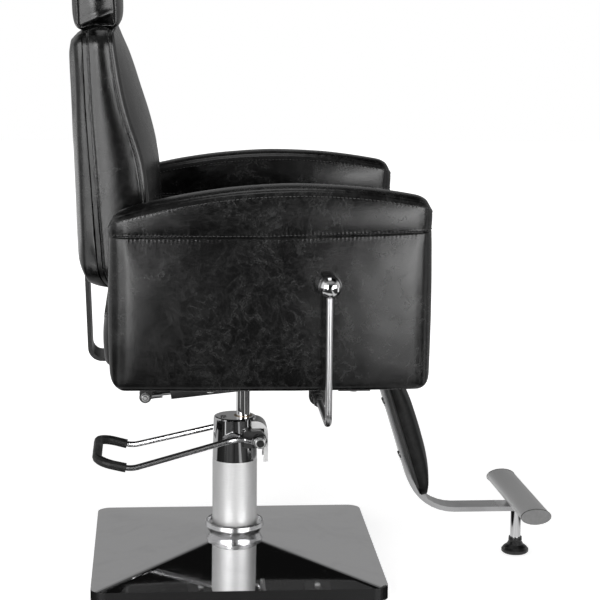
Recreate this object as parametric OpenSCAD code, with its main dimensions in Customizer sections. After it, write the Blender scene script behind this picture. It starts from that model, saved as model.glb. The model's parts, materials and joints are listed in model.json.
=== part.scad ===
// Hydraulic barber chair: square base, foot pump, swivelling and rising seat,
// reclining back with a gas spring, lifting headrest and T-bar footrest.
// Millimetres. X runs across the chair, the sitter faces -Y, Z is up.
// The origin is on the floor under the middle of the base.

/* [Base] */
// Side of the square base
base_w = 580; // [500:10:700]
// Radius of the base corners
base_corner_r = 28; // [16:1:60]
// Height of the upright rim of the base cover
base_rim_h = 26; // [20:1:34]
// Height of the base cover at the pump
base_top_h = 57; // [50:1:70]
// Sheet thickness of the base cover
cover_t = 2; // [1.2:0.2:3]
// Thickness of the rubber ring under the base
floor_ring_t = 3; // [2:0.5:5]
// Width of the rubber ring under the base
floor_ring_w = 34; // [20:1:60]
// Thickness of the steel base plate
base_plate_t = 8; // [5:1:10]

/* [Pump] */
// Outer diameter of the oil reservoir
reservoir_d = 92; // [86:1:104]
// Wall of the oil reservoir
reservoir_wall = 3; // [2:0.5:4]
// Height of the reservoir tube
reservoir_h = 192; // [150:1:260]
// Height of the chrome pump cap
cap_h = 90; // [84:1:120]
// Diameter of the pump cap at its top
cap_top_d = 87; // [84:1:92]
// Thickness of the pump flange
flange_t = 12; // [8:1:16]
// Diameter of the pump flange
flange_d = 160; // [140:1:200]
// Bolt circle of the pump flange
flange_pcd = 130; // [118:1:140]
// Outer diameter of the trim ring round the pump
trim_ring_d = 121; // [112:1:140]
// Height of the trim ring
trim_ring_h = 26; // [18:1:36]

/* [Lift] */
// Diameter of the piston rod
rod_d = 28.4; // [24:0.2:32]
// Offset of the piston rod towards the front
rod_offset = 17; // [12:0.5:20]
// Travel of the lift
lift_travel = 150; // [100:5:160]

/* [Pedal] */
// Diameter of the pedal rod
pedal_rod_d = 12; // [8:0.5:14]
// Diameter of the rubber sleeve on the pedal
pedal_rubber_d = 19.5; // [16:0.5:24]
// Reach of the pedal behind the pump axis
pedal_reach = 281; // [240:1:286]
// Half width of the pedal at its rear
pedal_half_w = 99; // [84:1:110]
// Height of the pedal pivot above the floor
pedal_pivot_z = 261; // [255:1:266]
// Diameter of the pedal shaft
pedal_shaft_d = 12; // [8:0.5:14]

/* [Seat] */
// Height of the underside of the seat frame at the lowest lift
seat_frame_z = 436; // [420:1:460]
// Size of the square frame tube
frame_tube = 25; // [20:1:30]
// Thickness of the seat board
seat_board_t = 12; // [9:1:18]
// Gap between the seat cushion and each armrest
seat_side_gap = 3; // [2:0.5:24]
// Front edge of the seat cushion, ahead of the base middle
seat_front = 335; // [310:1:345]
// Rear edge of the seat cushion, behind the base middle
seat_rear = 262; // [255:1:264]
// Height of the seat cushion from the board to its crown
seat_cushion_h = 130; // [100:1:134]

/* [Armrests] */
// Distance between the middles of the two armrests
arm_spacing = 638; // [600:1:700]
// Thickness of an armrest
arm_t = 90; // [70:1:90]
// Front edge of an armrest, ahead of the base middle
arm_front = 351; // [330:1:380]
// Rear edge of an armrest, behind the base middle
arm_rear = 249; // [240:1:260]
// Height of the armrest crest above the seat frame underside
arm_crest_h = 385; // [340:1:420]
// Radius of the arched top of an armrest
arm_arch_r = 1160; // [900:10:1600]

/* [Back] */
// Gap between the backrest and each armrest
back_side_gap = 21; // [14:1:54]
// Lean of the backrest from upright
back_lean = 1.9; // [0:0.1:4]
// Height of the backrest
back_h = 486; // [440:1:560]
// Depth of the backrest cushion at its fullest point
back_depth = 150; // [120:1:152]
// Depth of the backrest cushion at its top
back_top_depth = 84; // [76:1:100]
// Crown of the padded rear panel behind the board
back_panel_t = 12; // [11:0.5:16]
// Thickness of the back board
back_board_t = 12; // [9:1:15]
// Width of the flat back bracket
bracket_w = 90; // [60:1:96]
// Thickness of the flat back bracket
bracket_t = 8; // [6:1:10]
// Recline angle of the back
recline_deg = 35; // [20:1:38]

/* [Headrest] */
// Width of the headrest
headrest_w = 300; // [240:1:340]
// Height of the headrest
headrest_h = 168; // [130:1:200]
// Thickness of the headrest
headrest_t = 92; // [70:1:100]
// Diameter of the headrest posts
post_d = 12; // [10:0.5:14]
// Distance between the headrest posts
post_spacing = 120; // [90:1:160]
// Travel of the headrest
headrest_travel = 90; // [60:1:100]

/* [Legrest] */
// Width of the flat footrest bar
leg_bar_w = 50; // [40:1:60]
// Thickness of the flat footrest bar
leg_bar_t = 10; // [6:0.5:12]
// Width of the calf pad
calf_w = 260; // [200:1:300]
// Height of the calf pad along the bar
calf_h = 240; // [200:1:244]
// Thickness of the calf pad cushion
calf_pad_t = 29; // [20:1:34]
// Length of the footrest tube
foot_tube_l = 310; // [240:1:380]
// Width of the oval footrest tube
foot_tube_w = 62; // [50:1:70]
// Height of the oval footrest tube
foot_tube_h = 32; // [24:1:40]
// Diameter of the stand leg under the footrest
stand_leg_d = 22; // [18:0.5:26]
// Diameter of the rubber foot
stand_foot_d = 57; // [44:1:70]

/* [Lever] */
// Diameter of the recline lever
lever_d = 13.3; // [10:0.1:16]
// Height of the middle of the lever ball above the lever shaft
lever_ball_h = 262; // [200:1:320]
// Diameter of the lever ball
ball_d = 44; // [36:1:50]

/* [Fits] */
// Radial clearance of a turning or sliding metal fit
run_gap = 0.05; // [0.02:0.01:0.1]
// Gap between parts that only lie beside each other
rest_gap = 0.3; // [0.2:0.05:0.5]

/* [Hidden] */

// Smoothness of round solids and of arcs in swept shapes
round_fn = 64;
arc_steps = 8;
right = -1;
left = 1;
eps = 0.01;

// Heights up the pump
plate_z = floor_ring_t;
flange_z = plate_z + base_plate_t;
reservoir_z = flange_z + flange_t;
cap_z = reservoir_z + reservoir_h;
cap_top_z = cap_z + cap_h;
cap_wall = reservoir_wall;
cap_top_t = 5;
cap_edge_r = 4;
cap_draft = 0.3;
reservoir_r = reservoir_d / 2;
cap_top_r = cap_top_d / 2;

// Piston, its tube and its bush, all on the swivel axis
rod_r = rod_d / 2;
axis_y = -rod_offset;
bush_wall = 4.5;
bush_r = rod_r + bush_wall;
bush_h = 34;
boss_wall = 4;
boss_r = bush_r + boss_wall;
tube_r = rod_r + 3.8;
tube_wall = 2.5;
tube_top_gap = 2;
rod_bottom_z = reservoir_z + 38;
piston_head_h = 12;
head_t = 20;

// Base plate and flange bolts
plate_inset = cover_t + 3;
bolt_r = 6;
bolt_head_r = 10;
bolt_head_h = 8;
bolt_gap = 0.25;
flange_bolt_count = 4;

// Pedal linkage
pedal_pivot = [0, -49, pedal_pivot_z];
shaft_r = pedal_shaft_d / 2;
eye_r = 11;
eye_t = 10;
eye_x = 56;
eye_pitch = 10;
eye_neck = 17;
crank_x = 27;
crank_w = 12;
crank_arm = 27;
crank_hub_r = 10;
crank_tip_r = 4;
plunger_r = 5;
plunger_h = 56;
plunger_gap = 0.5;
window_drop = 18;
window_rise = 9;
window_margin = 14;
pedal_nut_r = 11;
pedal_nut_h = 8;
pedal_half_l = eye_x + eye_t / 2 + pedal_nut_h + 2;
pedal_rod_r = pedal_rod_d / 2;
sweep_sides = 12;
rubber_start_y = 220;
rubber_bore_gap = 0.3;
// Path of one pedal arm from its eye to the middle of the rear crossbar
pedal_dip = 42;
pedal_drop = 25;
arm_rise = 10;
arm_bend_y = 6;
arm_bend_x = 72;
pedal_flare = 4;
pedal_lead = 8;
neck_end = pedal_pivot + [eye_x, eye_neck * cos(eye_pitch), eye_neck * sin(eye_pitch)];
neck_next = pedal_pivot + [eye_x, 2 * eye_neck * cos(eye_pitch), 2 * eye_neck * sin(eye_pitch)];
pedal_corners = [
    neck_end,
    neck_next,
    [arm_bend_x, arm_bend_y, pedal_pivot_z + arm_rise],
    [pedal_half_w - pedal_flare, rubber_start_y - pedal_lead, pedal_pivot_z - pedal_dip],
    [pedal_half_w, pedal_reach, pedal_pivot_z - pedal_drop],
    [0, pedal_reach, pedal_pivot_z - pedal_drop]
];
pedal_bends = [14, 40, 60, 34];

// Pedal bracket and its return spring
pedal_bracket_w = 100;
pedal_bracket_top = pedal_pivot_z + 22;
pedal_bracket_bottom = pedal_pivot_z - 14;
pedal_bracket_front = -59;
pedal_bracket_back = -17;
spring_wire_r = 1.25;
spring_coil_r = 15;
spring_turns = 3;
spring_pitch = 3.6;
spring_sides = 6;
spring_rings = 8;
spring_pocket = 15;
guard_t = 2.5;
guard_flange = 9;
guard_half_w = 28;
guard_bend_r = 24;
guard_front = -67;
guard_drop = 84;
guard_tail = 14;

// Seat frame levels and rails
frame_top_z = seat_frame_z + frame_tube;
board_top_z = frame_top_z + seat_board_t;
seat_top_z = frame_top_z + seat_cushion_h + seat_board_t;
rail_side_gap = 26.5;
side_rail_x = (arm_spacing - arm_t - frame_tube) / 2 - rail_side_gap;
seat_w = arm_spacing - arm_t - 2 * seat_side_gap;
back_w = arm_spacing - arm_t - 2 * back_side_gap;
rail_front_y = -300;
rail_rear_y = 125;
mount_rail_half = 107;
leg_rail_y = [-235, -185];
cross_rails = [rail_front_y, leg_rail_y[0], leg_rail_y[1], axis_y - mount_rail_half, axis_y + mount_rail_half, rail_rear_y];
frame_wall = 2;
board_inset = 26;
mount_plate_t = 6;
mount_plate_w = 220;
mount_plate_l = 2 * mount_rail_half + frame_tube;
socket_r = rod_r + 9.8;
socket_h = 68;
rod_top_z = seat_frame_z - mount_plate_t - 2;
mount_bolt_x = 98;
small_bolt_r = 4;
small_head_r = 7;
small_head_h = 5;

// Armrests
arm_x = arm_spacing / 2;
arm_half_t = arm_t / 2;
arm_corner_r = 26;
arm_bottom_z = seat_frame_z;
arm_crest_z = arm_bottom_z + arm_crest_h;
arm_crest_y = -105;
arm_arch_steps = 10;
arm_bracket_y = [-210, 60];
arm_bracket_l = 60;
arm_bracket_t = 4;
arm_bolt_x = [side_rail_x, arm_x];

// Recline hinge and gas spring
hinge = [0, 165, seat_frame_z - 2];
hinge_pin_r = 6;
barrel_r = 13;
barrel_half_l = 95;
ear_t = 6;
ear_r = 15;
hinge_head_h = 6;
gas_x = -70;
gas_front = [gas_x, -125, seat_frame_z - 37.5];
gas_rear = [gas_x, 183, seat_frame_z - 71];
gas_pitch = atan2(gas_front[2] - gas_rear[2], gas_rear[1] - gas_front[1]);
gas_length = norm(gas_rear - gas_front);
gas_r = 11;
gas_block = 18;
gas_block_w = 26;
gas_body_l = 190;
shroud_r = 14;
shroud_bore_r = 12.6;
shroud_start = 60;
shroud_end = gas_length - 51;
gas_rod_r = 5;
gas_rod_start = 110;
rod_eye_r = 10;
rod_eye_t = 12;
open_pivot_r = 7.2;
gas_pin_r = 4.2;
gas_shoulder_r = 7;
lug_in = 15;
lug_t = 5;
lug_r = 12;
trunnion_r = 4;
trunnion_l = 7;
gas_ear_t = 5;
release_pin_r = 3;
release_pin_l = 22;
release_proud = 8;

// Back bracket bar
bar_bend_r = 24;
bracket_top = 178;

// Backrest, built upright about the rear foot of the back board and then leaned
back_bottom_z = seat_frame_z + 170;
back_origin = [0, 294, back_bottom_z];
back_rise = back_h;
back_board_w = back_w - 40;
back_board_foot = 34;
back_board_l = back_rise - back_board_foot - 20;
back_full_z = 0.36;
screw_r = 3;
screw_head_r = 6;
screw_head_h = 3;
back_head_h = back_panel_t - bracket_t + 2;
back_screw_x = 33;
back_screw_z = [63, 163];

// Headrest on two posts
guide_wall = 2;
guide_r = post_d / 2 + guide_wall;
guide_l = 190;
post_r = post_d / 2;
post_depth = 170;
post_y = -back_board_t - guide_r - rest_gap;
headrest_gap = 2;
headrest_base = back_rise + headrest_gap;
headrest_y = -40;
headrest_board_t = 12;
headrest_board_margin = 34;
headrest_board_h = 90;
bore_lead = 5;

// Legrest bar path, along the middle of the bar
leg_slope = 17.2;
leg_half_t = leg_bar_t / 2;
leg_top = [-282, seat_frame_z - leg_half_t];
leg_low_z = 105;
leg_run = leg_top[1] - leg_low_z;
leg_knee = [leg_top[0] - leg_run * tan(leg_slope), leg_low_z];
leg_rear_end = -165;
leg_front_end = -604;
leg_bend_r = 25;
leg_knee_r = 100;
leg_path = bent_path([[leg_rear_end, leg_top[1]], leg_top, leg_knee, [leg_front_end, leg_low_z]],
    [leg_bend_r, leg_knee_r], arc_steps);
leg_bolt_x = 14;
calf_centre_t = 0.435;
calf_centre = leg_top + (leg_knee - leg_top) * calf_centre_t;
calf_board_t = 12;
calf_screw_z = [-75, 45];
calf_screw_x = 15;
calf_head_h = 2.5;
calf_cover = 4;
foot_tube_y = -594;
foot_tube_yaw = 3;
foot_tube_wall = 2;
foot_cap_t = 2;
foot_tube_z = leg_low_z + leg_half_t + foot_tube_h / 2;
stand_y = -591;
stand_foot_h = 34;
stand_foot_clear = 4;
stand_leg_bottom = stand_foot_clear + stand_foot_h;
stem_r = 5;
stem_socket = 30;
stem_l = 24;
stud_r = 5;
stud_l = leg_bar_t + foot_tube_wall + 9;
stand_nut_r = 8;
stand_nut_h = 6;

// Recline lever
lever_r = lever_d / 2;
lever_y = -157;
lever_z = seat_frame_z - 58;
ball_r = ball_d / 2;
ball_seat = 5;
lever_x = -arm_x - arm_half_t - ball_r - 5;
lever_end_x = gas_x + gas_block_w / 2;
lever_bend_r = 22;
lever_web_x = -150;
lever_web_t = 10;
lever_web_w = 34;
lever_plate_w = 40;
lever_boss_r = 13;
cam_r = 11;
cam_w = 14;
cam_finger_t = 6;

// ---------- Helpers ----------

function unit(v) = v / norm(v);

// Points of a bend of radius r at corner b between the directions to a and c
function bend(a, b, c, r, n) =
    let (
        u = unit(a - b),
        v = unit(c - b),
        half = acos(u * v) / 2,
        middle = b + unit(u + v) * r / sin(half),
        e1 = unit(b + u * r / tan(half) - middle),
        q = b + v * r / tan(half) - middle,
        e2 = unit(q - e1 * (q * e1)),
        sweep = 180 - 2 * half
    )
    [for (k = [0:n]) middle + r * (cos(sweep * k / n) * e1 + sin(sweep * k / n) * e2)];

// Open path through the corners p with a bend radius at each inner corner
function bent_path(p, r, n) = [
    p[0],
    for (i = [1:len(p) - 2]) each (r[i - 1] > 0 ? bend(p[i - 1], p[i], p[i + 1], r[i - 1], n) : [p[i]]),
    p[len(p) - 1]
];

// Closed outline through the corners p with a bend radius at each, 0 for none
function bent_loop(p, r, n) = [
    for (i = [0:len(p) - 1])
        each (r[i] > 0
            ? bend(p[(i + len(p) - 1) % len(p)], p[i], p[(i + 1) % len(p)], r[i], n)
            : [p[i]])
];

// Direction of a path at its point i
function heading(path, i) = unit(path[min(i + 1, len(path) - 1)] - path[max(i - 1, 0)]);

// Polygon of a strip between the distances a and b to the left of a flat path
function strip(path, a, b) =
    let (
        last = len(path) - 1,
        side = [for (i = [0:last]) let (h = heading(path, i)) [-h[1], h[0]]]
    )
    concat(
        [for (i = [0:last]) path[i] + side[i] * a],
        [for (i = [last:-1:0]) path[i] + side[i] * b]
    );

// One ring of a round tube, clockwise seen against the path
function tube_ring(path, i, r, up, sides) =
    let (
        t = heading(path, i),
        s = unit(cross(t, up)),
        v = cross(s, t)
    )
    [for (j = [0:sides - 1]) path[i] + r * (cos(360 * j / sides) * s + sin(360 * j / sides) * v)];

// Mirror image of a path in the plane X = 0, walked the other way
function mirrored(path) = [for (i = [len(path) - 1:-1:0]) [-path[i][0], path[i][1], path[i][2]]];

function mean(points) = [for (k = [0:len(points[0]) - 1]) [for (p = points) 1] * [for (p = points) p[k]] / len(points)];

// Skin between neighbouring rings
function skin(rings, n, offset) = [
    for (i = [0:rings - 2], j = [0:n - 1])
        each [
            [offset + i * n + j, offset + i * n + (j + 1) % n, offset + (i + 1) * n + (j + 1) % n],
            [offset + i * n + j, offset + (i + 1) * n + (j + 1) % n, offset + (i + 1) * n + j]
        ]
];

// Closed solid through a stack of rings, each clockwise seen from the last one's side
module loft(rings) {
    n = len(rings[0]);
    m = len(rings);
    first = n * m;
    points = concat([for (ring = rings, p = ring) p], [mean(rings[0]), mean(rings[m - 1])]);
    ends = [
        for (j = [0:n - 1])
            each [
                [first, (j + 1) % n, j],
                [first + 1, (m - 1) * n + j, (m - 1) * n + (j + 1) % n]
            ]
    ];
    polyhedron(points = points, faces = concat(skin(m, n, 0), ends), convexity = 6);
}

module swept_rod(path, r, up, sides) {
    loft([for (i = [0:len(path) - 1]) tube_ring(path, i, r, up, sides)]);
}

// Tube with a bore along a path
module swept_sleeve(path, r, bore, up, sides) {
    m = len(path);
    outer = [for (i = [0:m - 1]) each tube_ring(path, i, r, up, sides)];
    inner = [for (i = [0:m - 1]) each tube_ring(path, i, bore, up, sides)];
    shift = m * sides;
    inside = [for (f = skin(m, sides, shift)) [f[0], f[2], f[1]]];
    ends = [
        for (j = [0:sides - 1])
            let (
                k = (j + 1) % sides,
                e = (m - 1) * sides
            )
            each [
                [k, j, shift + j],
                [k, shift + j, shift + k],
                [e + j, e + k, shift + e + k],
                [e + j, shift + e + k, shift + e + j]
            ]
    ];
    polyhedron(points = concat(outer, inner), faces = concat(skin(m, sides, 0), inside, ends), convexity = 6);
}

// Signed power that keeps the sign of its argument
function spow(v, e) = sign(v) * pow(abs(v), e);

// Softly bowed rectangle of half sizes a and b, clockwise, squarer as e grows
function squircle(a, b, e, n) = [
    for (i = [0:n - 1])
        let (t = -360 * (i + 0.5) / n)
        [a * spow(cos(t), 2 / e), b * spow(sin(t), 2 / e)]
];

// Ring of a flat outline of [y, z] points moved in by an inset, at a given x
function side_ring(outline, x, inset, share) =
    let (
        n = len(outline),
        c = mean(outline)
    )
    [
        for (i = [0:n - 1])
            let (
                h = unit(outline[(i + 1) % n] - outline[(i + n - 1) % n]),
                p = outline[i] + inset * [h[1], -h[0]],
                q = c + (p - c) * share
            )
            [x, q[0], q[1]]
    ];

// Extrudes a drawing of the YZ plane across X, from x0 to x1
module across(x0, x1) {
    translate([x0, 0, 0])
        rotate([90, 0, 90])
            linear_extrude(height = x1 - x0)
                children();
}

// Round bar or bore along X through a point
module x_cylinder(at, r, x0, x1) {
    translate([x0, at[1], at[2]])
        rotate([0, 90, 0])
            cylinder(r = r, h = x1 - x0, $fn = round_fn);
}

module hex_x(at, r, x0, x1) {
    translate([x0, at[1], at[2]])
        rotate([0, 90, 0])
            cylinder(r = r, h = x1 - x0, $fn = 6);
}

// Round-cornered plate in the XY plane, centred
module round_plate(w, l, r) {
    hull()
        for (x = [-1, 1], y = [-1, 1])
            translate([x * (w / 2 - r), y * (l / 2 - r)])
                circle(r = r, $fn = 32);
}

// Hex bolt with its head at the bottom, pointing up
module bolt_up(r, head_r, head_h, shank) {
    translate([0, 0, -head_h])
        cylinder(r = head_r, h = head_h, $fn = 6);
    translate([0, 0, -eps])
        cylinder(r = r, h = shank, $fn = round_fn);
}

// ---------- Base ----------

module floor_ring() {
    color("#202020")
        difference() {
            linear_extrude(height = floor_ring_t)
                round_plate(base_w, base_w, base_corner_r);
            translate([0, 0, -1])
                linear_extrude(height = floor_ring_t + 2)
                    round_plate(base_w - 2 * floor_ring_w, base_w - 2 * floor_ring_w, base_corner_r / 2);
        }
}

module base_plate() {
    side = base_w - 2 * plate_inset;
    color("#303030")
        translate([0, 0, plate_z])
            difference() {
                linear_extrude(height = base_plate_t)
                    round_plate(side, side, base_corner_r - plate_inset);
                flange_bolt_places(-1)
                    cylinder(r = bolt_r + bolt_gap, h = base_plate_t + 2, $fn = round_fn);
            }
}

// Pyramid with a rim, drawn in by a wall
module cover_form(inset) {
    side = base_w - 2 * inset;
    hull() {
        translate([0, 0, plate_z])
            linear_extrude(height = base_rim_h - plate_z - inset)
                round_plate(side, side, base_corner_r - inset);
        translate([0, 0, base_top_h - inset - 1])
            linear_extrude(height = 1)
                round_plate(trim_ring_d, trim_ring_d, base_corner_r - inset);
    }
}

module base_cover() {
    color("#c8c8c8")
        difference() {
            cover_form(0);
            translate([0, 0, -eps])
                cover_form(cover_t);
            translate([0, 0, plate_z - 1])
                cylinder(r = reservoir_r + 2, h = base_top_h, $fn = round_fn);
        }
}

// A dished collar whose lip stands clear of the reservoir
module trim_ring() {
    r = trim_ring_d / 2;
    foot = reservoir_r + rest_gap;
    color("#d0d0d0")
        translate([0, 0, base_top_h])
            rotate_extrude($fn = round_fn)
                polygon([
                    [foot, 0],
                    [foot + 5, 0],
                    [r - 2, trim_ring_h * 0.5],
                    [r, trim_ring_h * 0.6],
                    [r, trim_ring_h - 2],
                    [r - 1.5, trim_ring_h],
                    [r - 3.5, trim_ring_h - 1],
                    [r - 4, trim_ring_h * 0.62],
                    [foot + 3, 5],
                    [foot, 5]
                ]);
}

module flange_bolt_places(z) {
    for (i = [0:flange_bolt_count - 1])
        rotate([0, 0, 45 + 360 * i / flange_bolt_count])
            translate([flange_pcd / 2, 0, z])
                children();
}

module pump_flange() {
    color("#505050")
        translate([0, 0, flange_z])
            difference() {
                cylinder(r = flange_d / 2, h = flange_t, $fn = round_fn);
                flange_bolt_places(-1)
                    cylinder(r = bolt_r + bolt_gap, h = flange_t + 2, $fn = round_fn);
            }
}

module flange_bolts() {
    shank = flange_t + base_plate_t;
    color("#909090")
        flange_bolt_places(reservoir_z)
            mirror([0, 0, 1])
                bolt_up(bolt_r, bolt_head_r, bolt_head_h, shank);
}

// ---------- Pump ----------

module oil_reservoir() {
    color("#b8b8b8")
        translate([0, 0, reservoir_z])
            difference() {
                cylinder(r = reservoir_r, h = reservoir_h, $fn = round_fn);
                translate([0, 0, -1])
                    cylinder(r = reservoir_r - reservoir_wall, h = reservoir_h + 2, $fn = round_fn);
            }
}

module pressure_tube() {
    top = cap_top_z - bush_h - 1 - tube_top_gap;
    color("#808080")
        translate([0, axis_y, reservoir_z])
            difference() {
                cylinder(r = tube_r, h = top - reservoir_z, $fn = round_fn);
                translate([0, 0, -1])
                    cylinder(r = tube_r - tube_wall, h = top - reservoir_z + 2, $fn = round_fn);
            }
}

// Disc that centres the pressure tube and guides the plunger
module pump_head() {
    foot_r = reservoir_r - reservoir_wall - rest_gap;
    taper = (reservoir_r - cap_top_r) / (cap_h - cap_top_t);
    color("#707070")
        translate([0, 0, cap_z])
            difference() {
                cylinder(r1 = foot_r, r2 = foot_r - taper * head_t - cap_draft, h = head_t, $fn = round_fn);
                translate([0, axis_y, -1])
                    cylinder(r = tube_r + rest_gap, h = head_t + 2, $fn = round_fn);
                translate([crank_x, pedal_pivot[1] + crank_arm, -1])
                    cylinder(r = plunger_r + run_gap, h = head_t + 2, $fn = round_fn);
            }
}

// Outer form of the cap, grown by a gap
module cap_form(gap) {
    foot = reservoir_r + gap;
    crown = cap_top_r + gap;
    rotate_extrude($fn = round_fn)
        polygon([
            [0, cap_z - gap],
            [foot, cap_z - gap],
            [crown, cap_top_z - cap_edge_r],
            [crown - cap_edge_r * 0.3, cap_top_z - cap_edge_r * 0.3],
            [crown - cap_edge_r, cap_top_z + gap],
            [0, cap_top_z + gap]
        ]);
}

module pump_cap() {
    inner_foot = reservoir_r - cap_wall;
    inner_crown = cap_top_r - cap_wall - cap_draft;
    color("#d8d8d8")
        difference() {
            cap_form(0);
            difference() {
                rotate_extrude($fn = round_fn)
                    polygon([
                        [0, cap_z - 1],
                        [inner_foot, cap_z - 1],
                        [inner_foot, cap_z],
                        [inner_crown, cap_top_z - cap_top_t],
                        [0, cap_top_z - cap_top_t]
                    ]);
                translate([0, axis_y, cap_top_z - bush_h - 1])
                    cylinder(r = boss_r, h = bush_h, $fn = round_fn);
            }
            translate([0, axis_y, cap_z])
                cylinder(r = bush_r + run_gap, h = cap_h + 1, $fn = round_fn);
            x_cylinder(pedal_pivot, shaft_r + rest_gap, -reservoir_r, reservoir_r);
            translate([crank_x - crank_w / 2 - 2, -reservoir_r - 10, pedal_pivot_z - window_drop])
                cube([crank_w + 4, reservoir_r - window_margin, window_drop + window_rise]);
            oil_plug_place()
                translate([0, 0, -cap_top_t - 1])
                    cylinder(r = small_bolt_r + rest_gap, h = cap_top_t + 2, $fn = round_fn);
        }
}

module oil_plug_place() {
    translate([-12, 24, cap_top_z])
        children();
}

module oil_plug() {
    color("#404040")
        oil_plug_place()
            difference() {
                union() {
                    cylinder(r = small_head_r - 1, h = 2, $fn = round_fn);
                    translate([0, 0, -8])
                        cylinder(r = small_bolt_r, h = 8 + eps, $fn = round_fn);
                }
                translate([-small_head_r, -0.6, 1])
                    cube([2 * small_head_r, 1.2, 2]);
            }
}

module swivel_bush() {
    color("#b08d57")
        translate([0, axis_y, cap_top_z - bush_h])
            difference() {
                cylinder(r = bush_r, h = bush_h + 0.5, $fn = round_fn);
                translate([0, 0, -1])
                    cylinder(r = rod_r + run_gap, h = bush_h + 3, $fn = round_fn);
            }
}

module piston_rod() {
    color("#d8d8d8")
        translate([0, axis_y, rod_bottom_z]) {
            cylinder(r = tube_r - tube_wall - run_gap, h = piston_head_h, $fn = round_fn);
            cylinder(r = rod_r, h = rod_top_z - rod_bottom_z, $fn = round_fn);
        }
}

// ---------- Pedal ----------

// Block round the front of the cap that carries the pedal shaft
module pedal_bracket() {
    half = pedal_bracket_w / 2;
    color("#181818")
        difference() {
            across(-half, half)
                polygon(bent_loop([
                    [pedal_bracket_back, pedal_bracket_top],
                    [pedal_bracket_back, pedal_bracket_bottom],
                    [pedal_bracket_front, pedal_bracket_bottom],
                    [pedal_bracket_front, pedal_bracket_top]
                ], [4, 4, 6, 12], arc_steps));
            cap_form(0);
            x_cylinder(pedal_pivot, shaft_r + run_gap, -half - 1, half + 1);
            translate([crank_x - crank_w / 2 - 2, -reservoir_r - 20, pedal_bracket_bottom - 1])
                cube([crank_w + 4, reservoir_r + 10, pedal_bracket_top - pedal_bracket_bottom - 6]);
            x_cylinder(pedal_pivot, spring_coil_r + spring_wire_r + rest_gap, -half - 1, -half + spring_pocket);
        }
}

// Points of the torsion spring round the pedal shaft
spring_x0 = -pedal_bracket_w / 2 + 1.5 * spring_wire_r;
spring_path = [
    for (i = [0:spring_turns * spring_rings])
        let (a = 360 * i / spring_rings)
        pedal_pivot + [spring_x0 + spring_pitch * i / spring_rings, spring_coil_r * sin(a), spring_coil_r * cos(a)]
];
spring_lead = 2 * spring_wire_r;
spring_ends = concat(
    [spring_path[0] - [0, spring_lead, 0]],
    spring_path,
    [spring_path[len(spring_path) - 1] + [0, spring_lead, 0]]
);
echo(spring_least_gap = spring_pitch - 2 * spring_wire_r);

module pedal_spring() {
    color("#303030")
        loft([for (i = [0:len(spring_ends) - 1]) tube_ring(spring_ends, i, spring_wire_r, [1, 0, 0], spring_sides)]);
}

// Bent cover in front of the pedal bracket, with turned-in sides
module guard_band(depth) {
    top_z = cap_top_z - 2 * cap_edge_r;
    path = bent_path([
        [guard_front + guard_t / 2 + guard_bend_r + guard_tail, top_z],
        [guard_front + guard_t / 2, top_z],
        [guard_front + guard_t / 2, top_z - guard_drop]
    ], [guard_bend_r], arc_steps);
    polygon(strip(path, -guard_t / 2, depth - guard_t / 2));
}

// Web that closes each side of the guard at its bend
module guard_web() {
    translate([guard_front + guard_t / 2 + guard_bend_r, cap_top_z - 2 * cap_edge_r - guard_bend_r]) {
        intersection() {
            circle(r = guard_bend_r, $fn = round_fn);
            translate([-guard_bend_r, 0])
                square(guard_bend_r);
        }
        square([guard_tail, guard_bend_r]);
    }
}

module pump_guard() {
    color("#a0a0a0")
        difference() {
            union() {
                across(-guard_half_w, guard_half_w)
                    guard_band(guard_t);
                for (side = [-1, 1])
                    across(side * guard_half_w - (side > 0 ? guard_t : 0), side * guard_half_w + (side < 0 ? guard_t : 0)) {
                        guard_band(guard_flange);
                        guard_web();
                    }
            }
            cap_form(0);
            across(-guard_half_w - 1, guard_half_w + 1)
                translate([pedal_bracket_front - rest_gap, pedal_bracket_bottom - rest_gap])
                    square([60, pedal_bracket_top - pedal_bracket_bottom + 2 * rest_gap]);
        }
}

module pump_plunger() {
    top = pedal_pivot_z - crank_tip_r - plunger_gap;
    color("#c0c0c0")
        translate([crank_x, pedal_pivot[1] + crank_arm, top - plunger_h])
            cylinder(r = plunger_r, h = plunger_h, $fn = round_fn);
}

module pedal_shaft() {
    color("#909090")
        x_cylinder(pedal_pivot, shaft_r, -pedal_half_l, pedal_half_l);
}

module pedal_nuts() {
    color("#b0b0b0")
        for (side = [0, 1])
            mirror([side, 0, 0])
                difference() {
                    hex_x(pedal_pivot, pedal_nut_r, eye_x + eye_t / 2, eye_x + eye_t / 2 + pedal_nut_h);
                    x_cylinder(pedal_pivot, shaft_r + run_gap, eye_x, eye_x + eye_t + pedal_nut_h);
                }
}

// Crank finger that pushes the plunger down
module pedal_crank() {
    x0 = crank_x - crank_w / 2;
    tip = pedal_pivot + [0, crank_arm, 0];
    color("#606060")
        difference() {
            union() {
                x_cylinder(pedal_pivot, crank_hub_r, x0, x0 + crank_w);
                x_cylinder(tip, crank_tip_r, x0 + 1, x0 + crank_w - 1);
                translate([x0 + 1, pedal_pivot[1], pedal_pivot_z - crank_tip_r])
                    cube([crank_w - 2, crank_arm, 2 * crank_tip_r]);
            }
            x_cylinder(pedal_pivot, shaft_r + run_gap, x0 - 1, x0 + crank_w + 1);
        }
}

half_pedal = bent_path(pedal_corners, pedal_bends, arc_steps);
pedal_path = concat(half_pedal, [for (i = [1:len(half_pedal) - 1]) mirrored(half_pedal)[i]]);
rubber_path = [for (p = pedal_path) if (p[1] > rubber_start_y) p];

module pedal_rod() {
    color("#d0d0d0") {
        swept_rod(pedal_path, pedal_rod_r, [0, 0, 1], sweep_sides);
        for (side = [0, 1])
            mirror([side, 0, 0])
                pedal_eye();
    }
}

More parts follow.
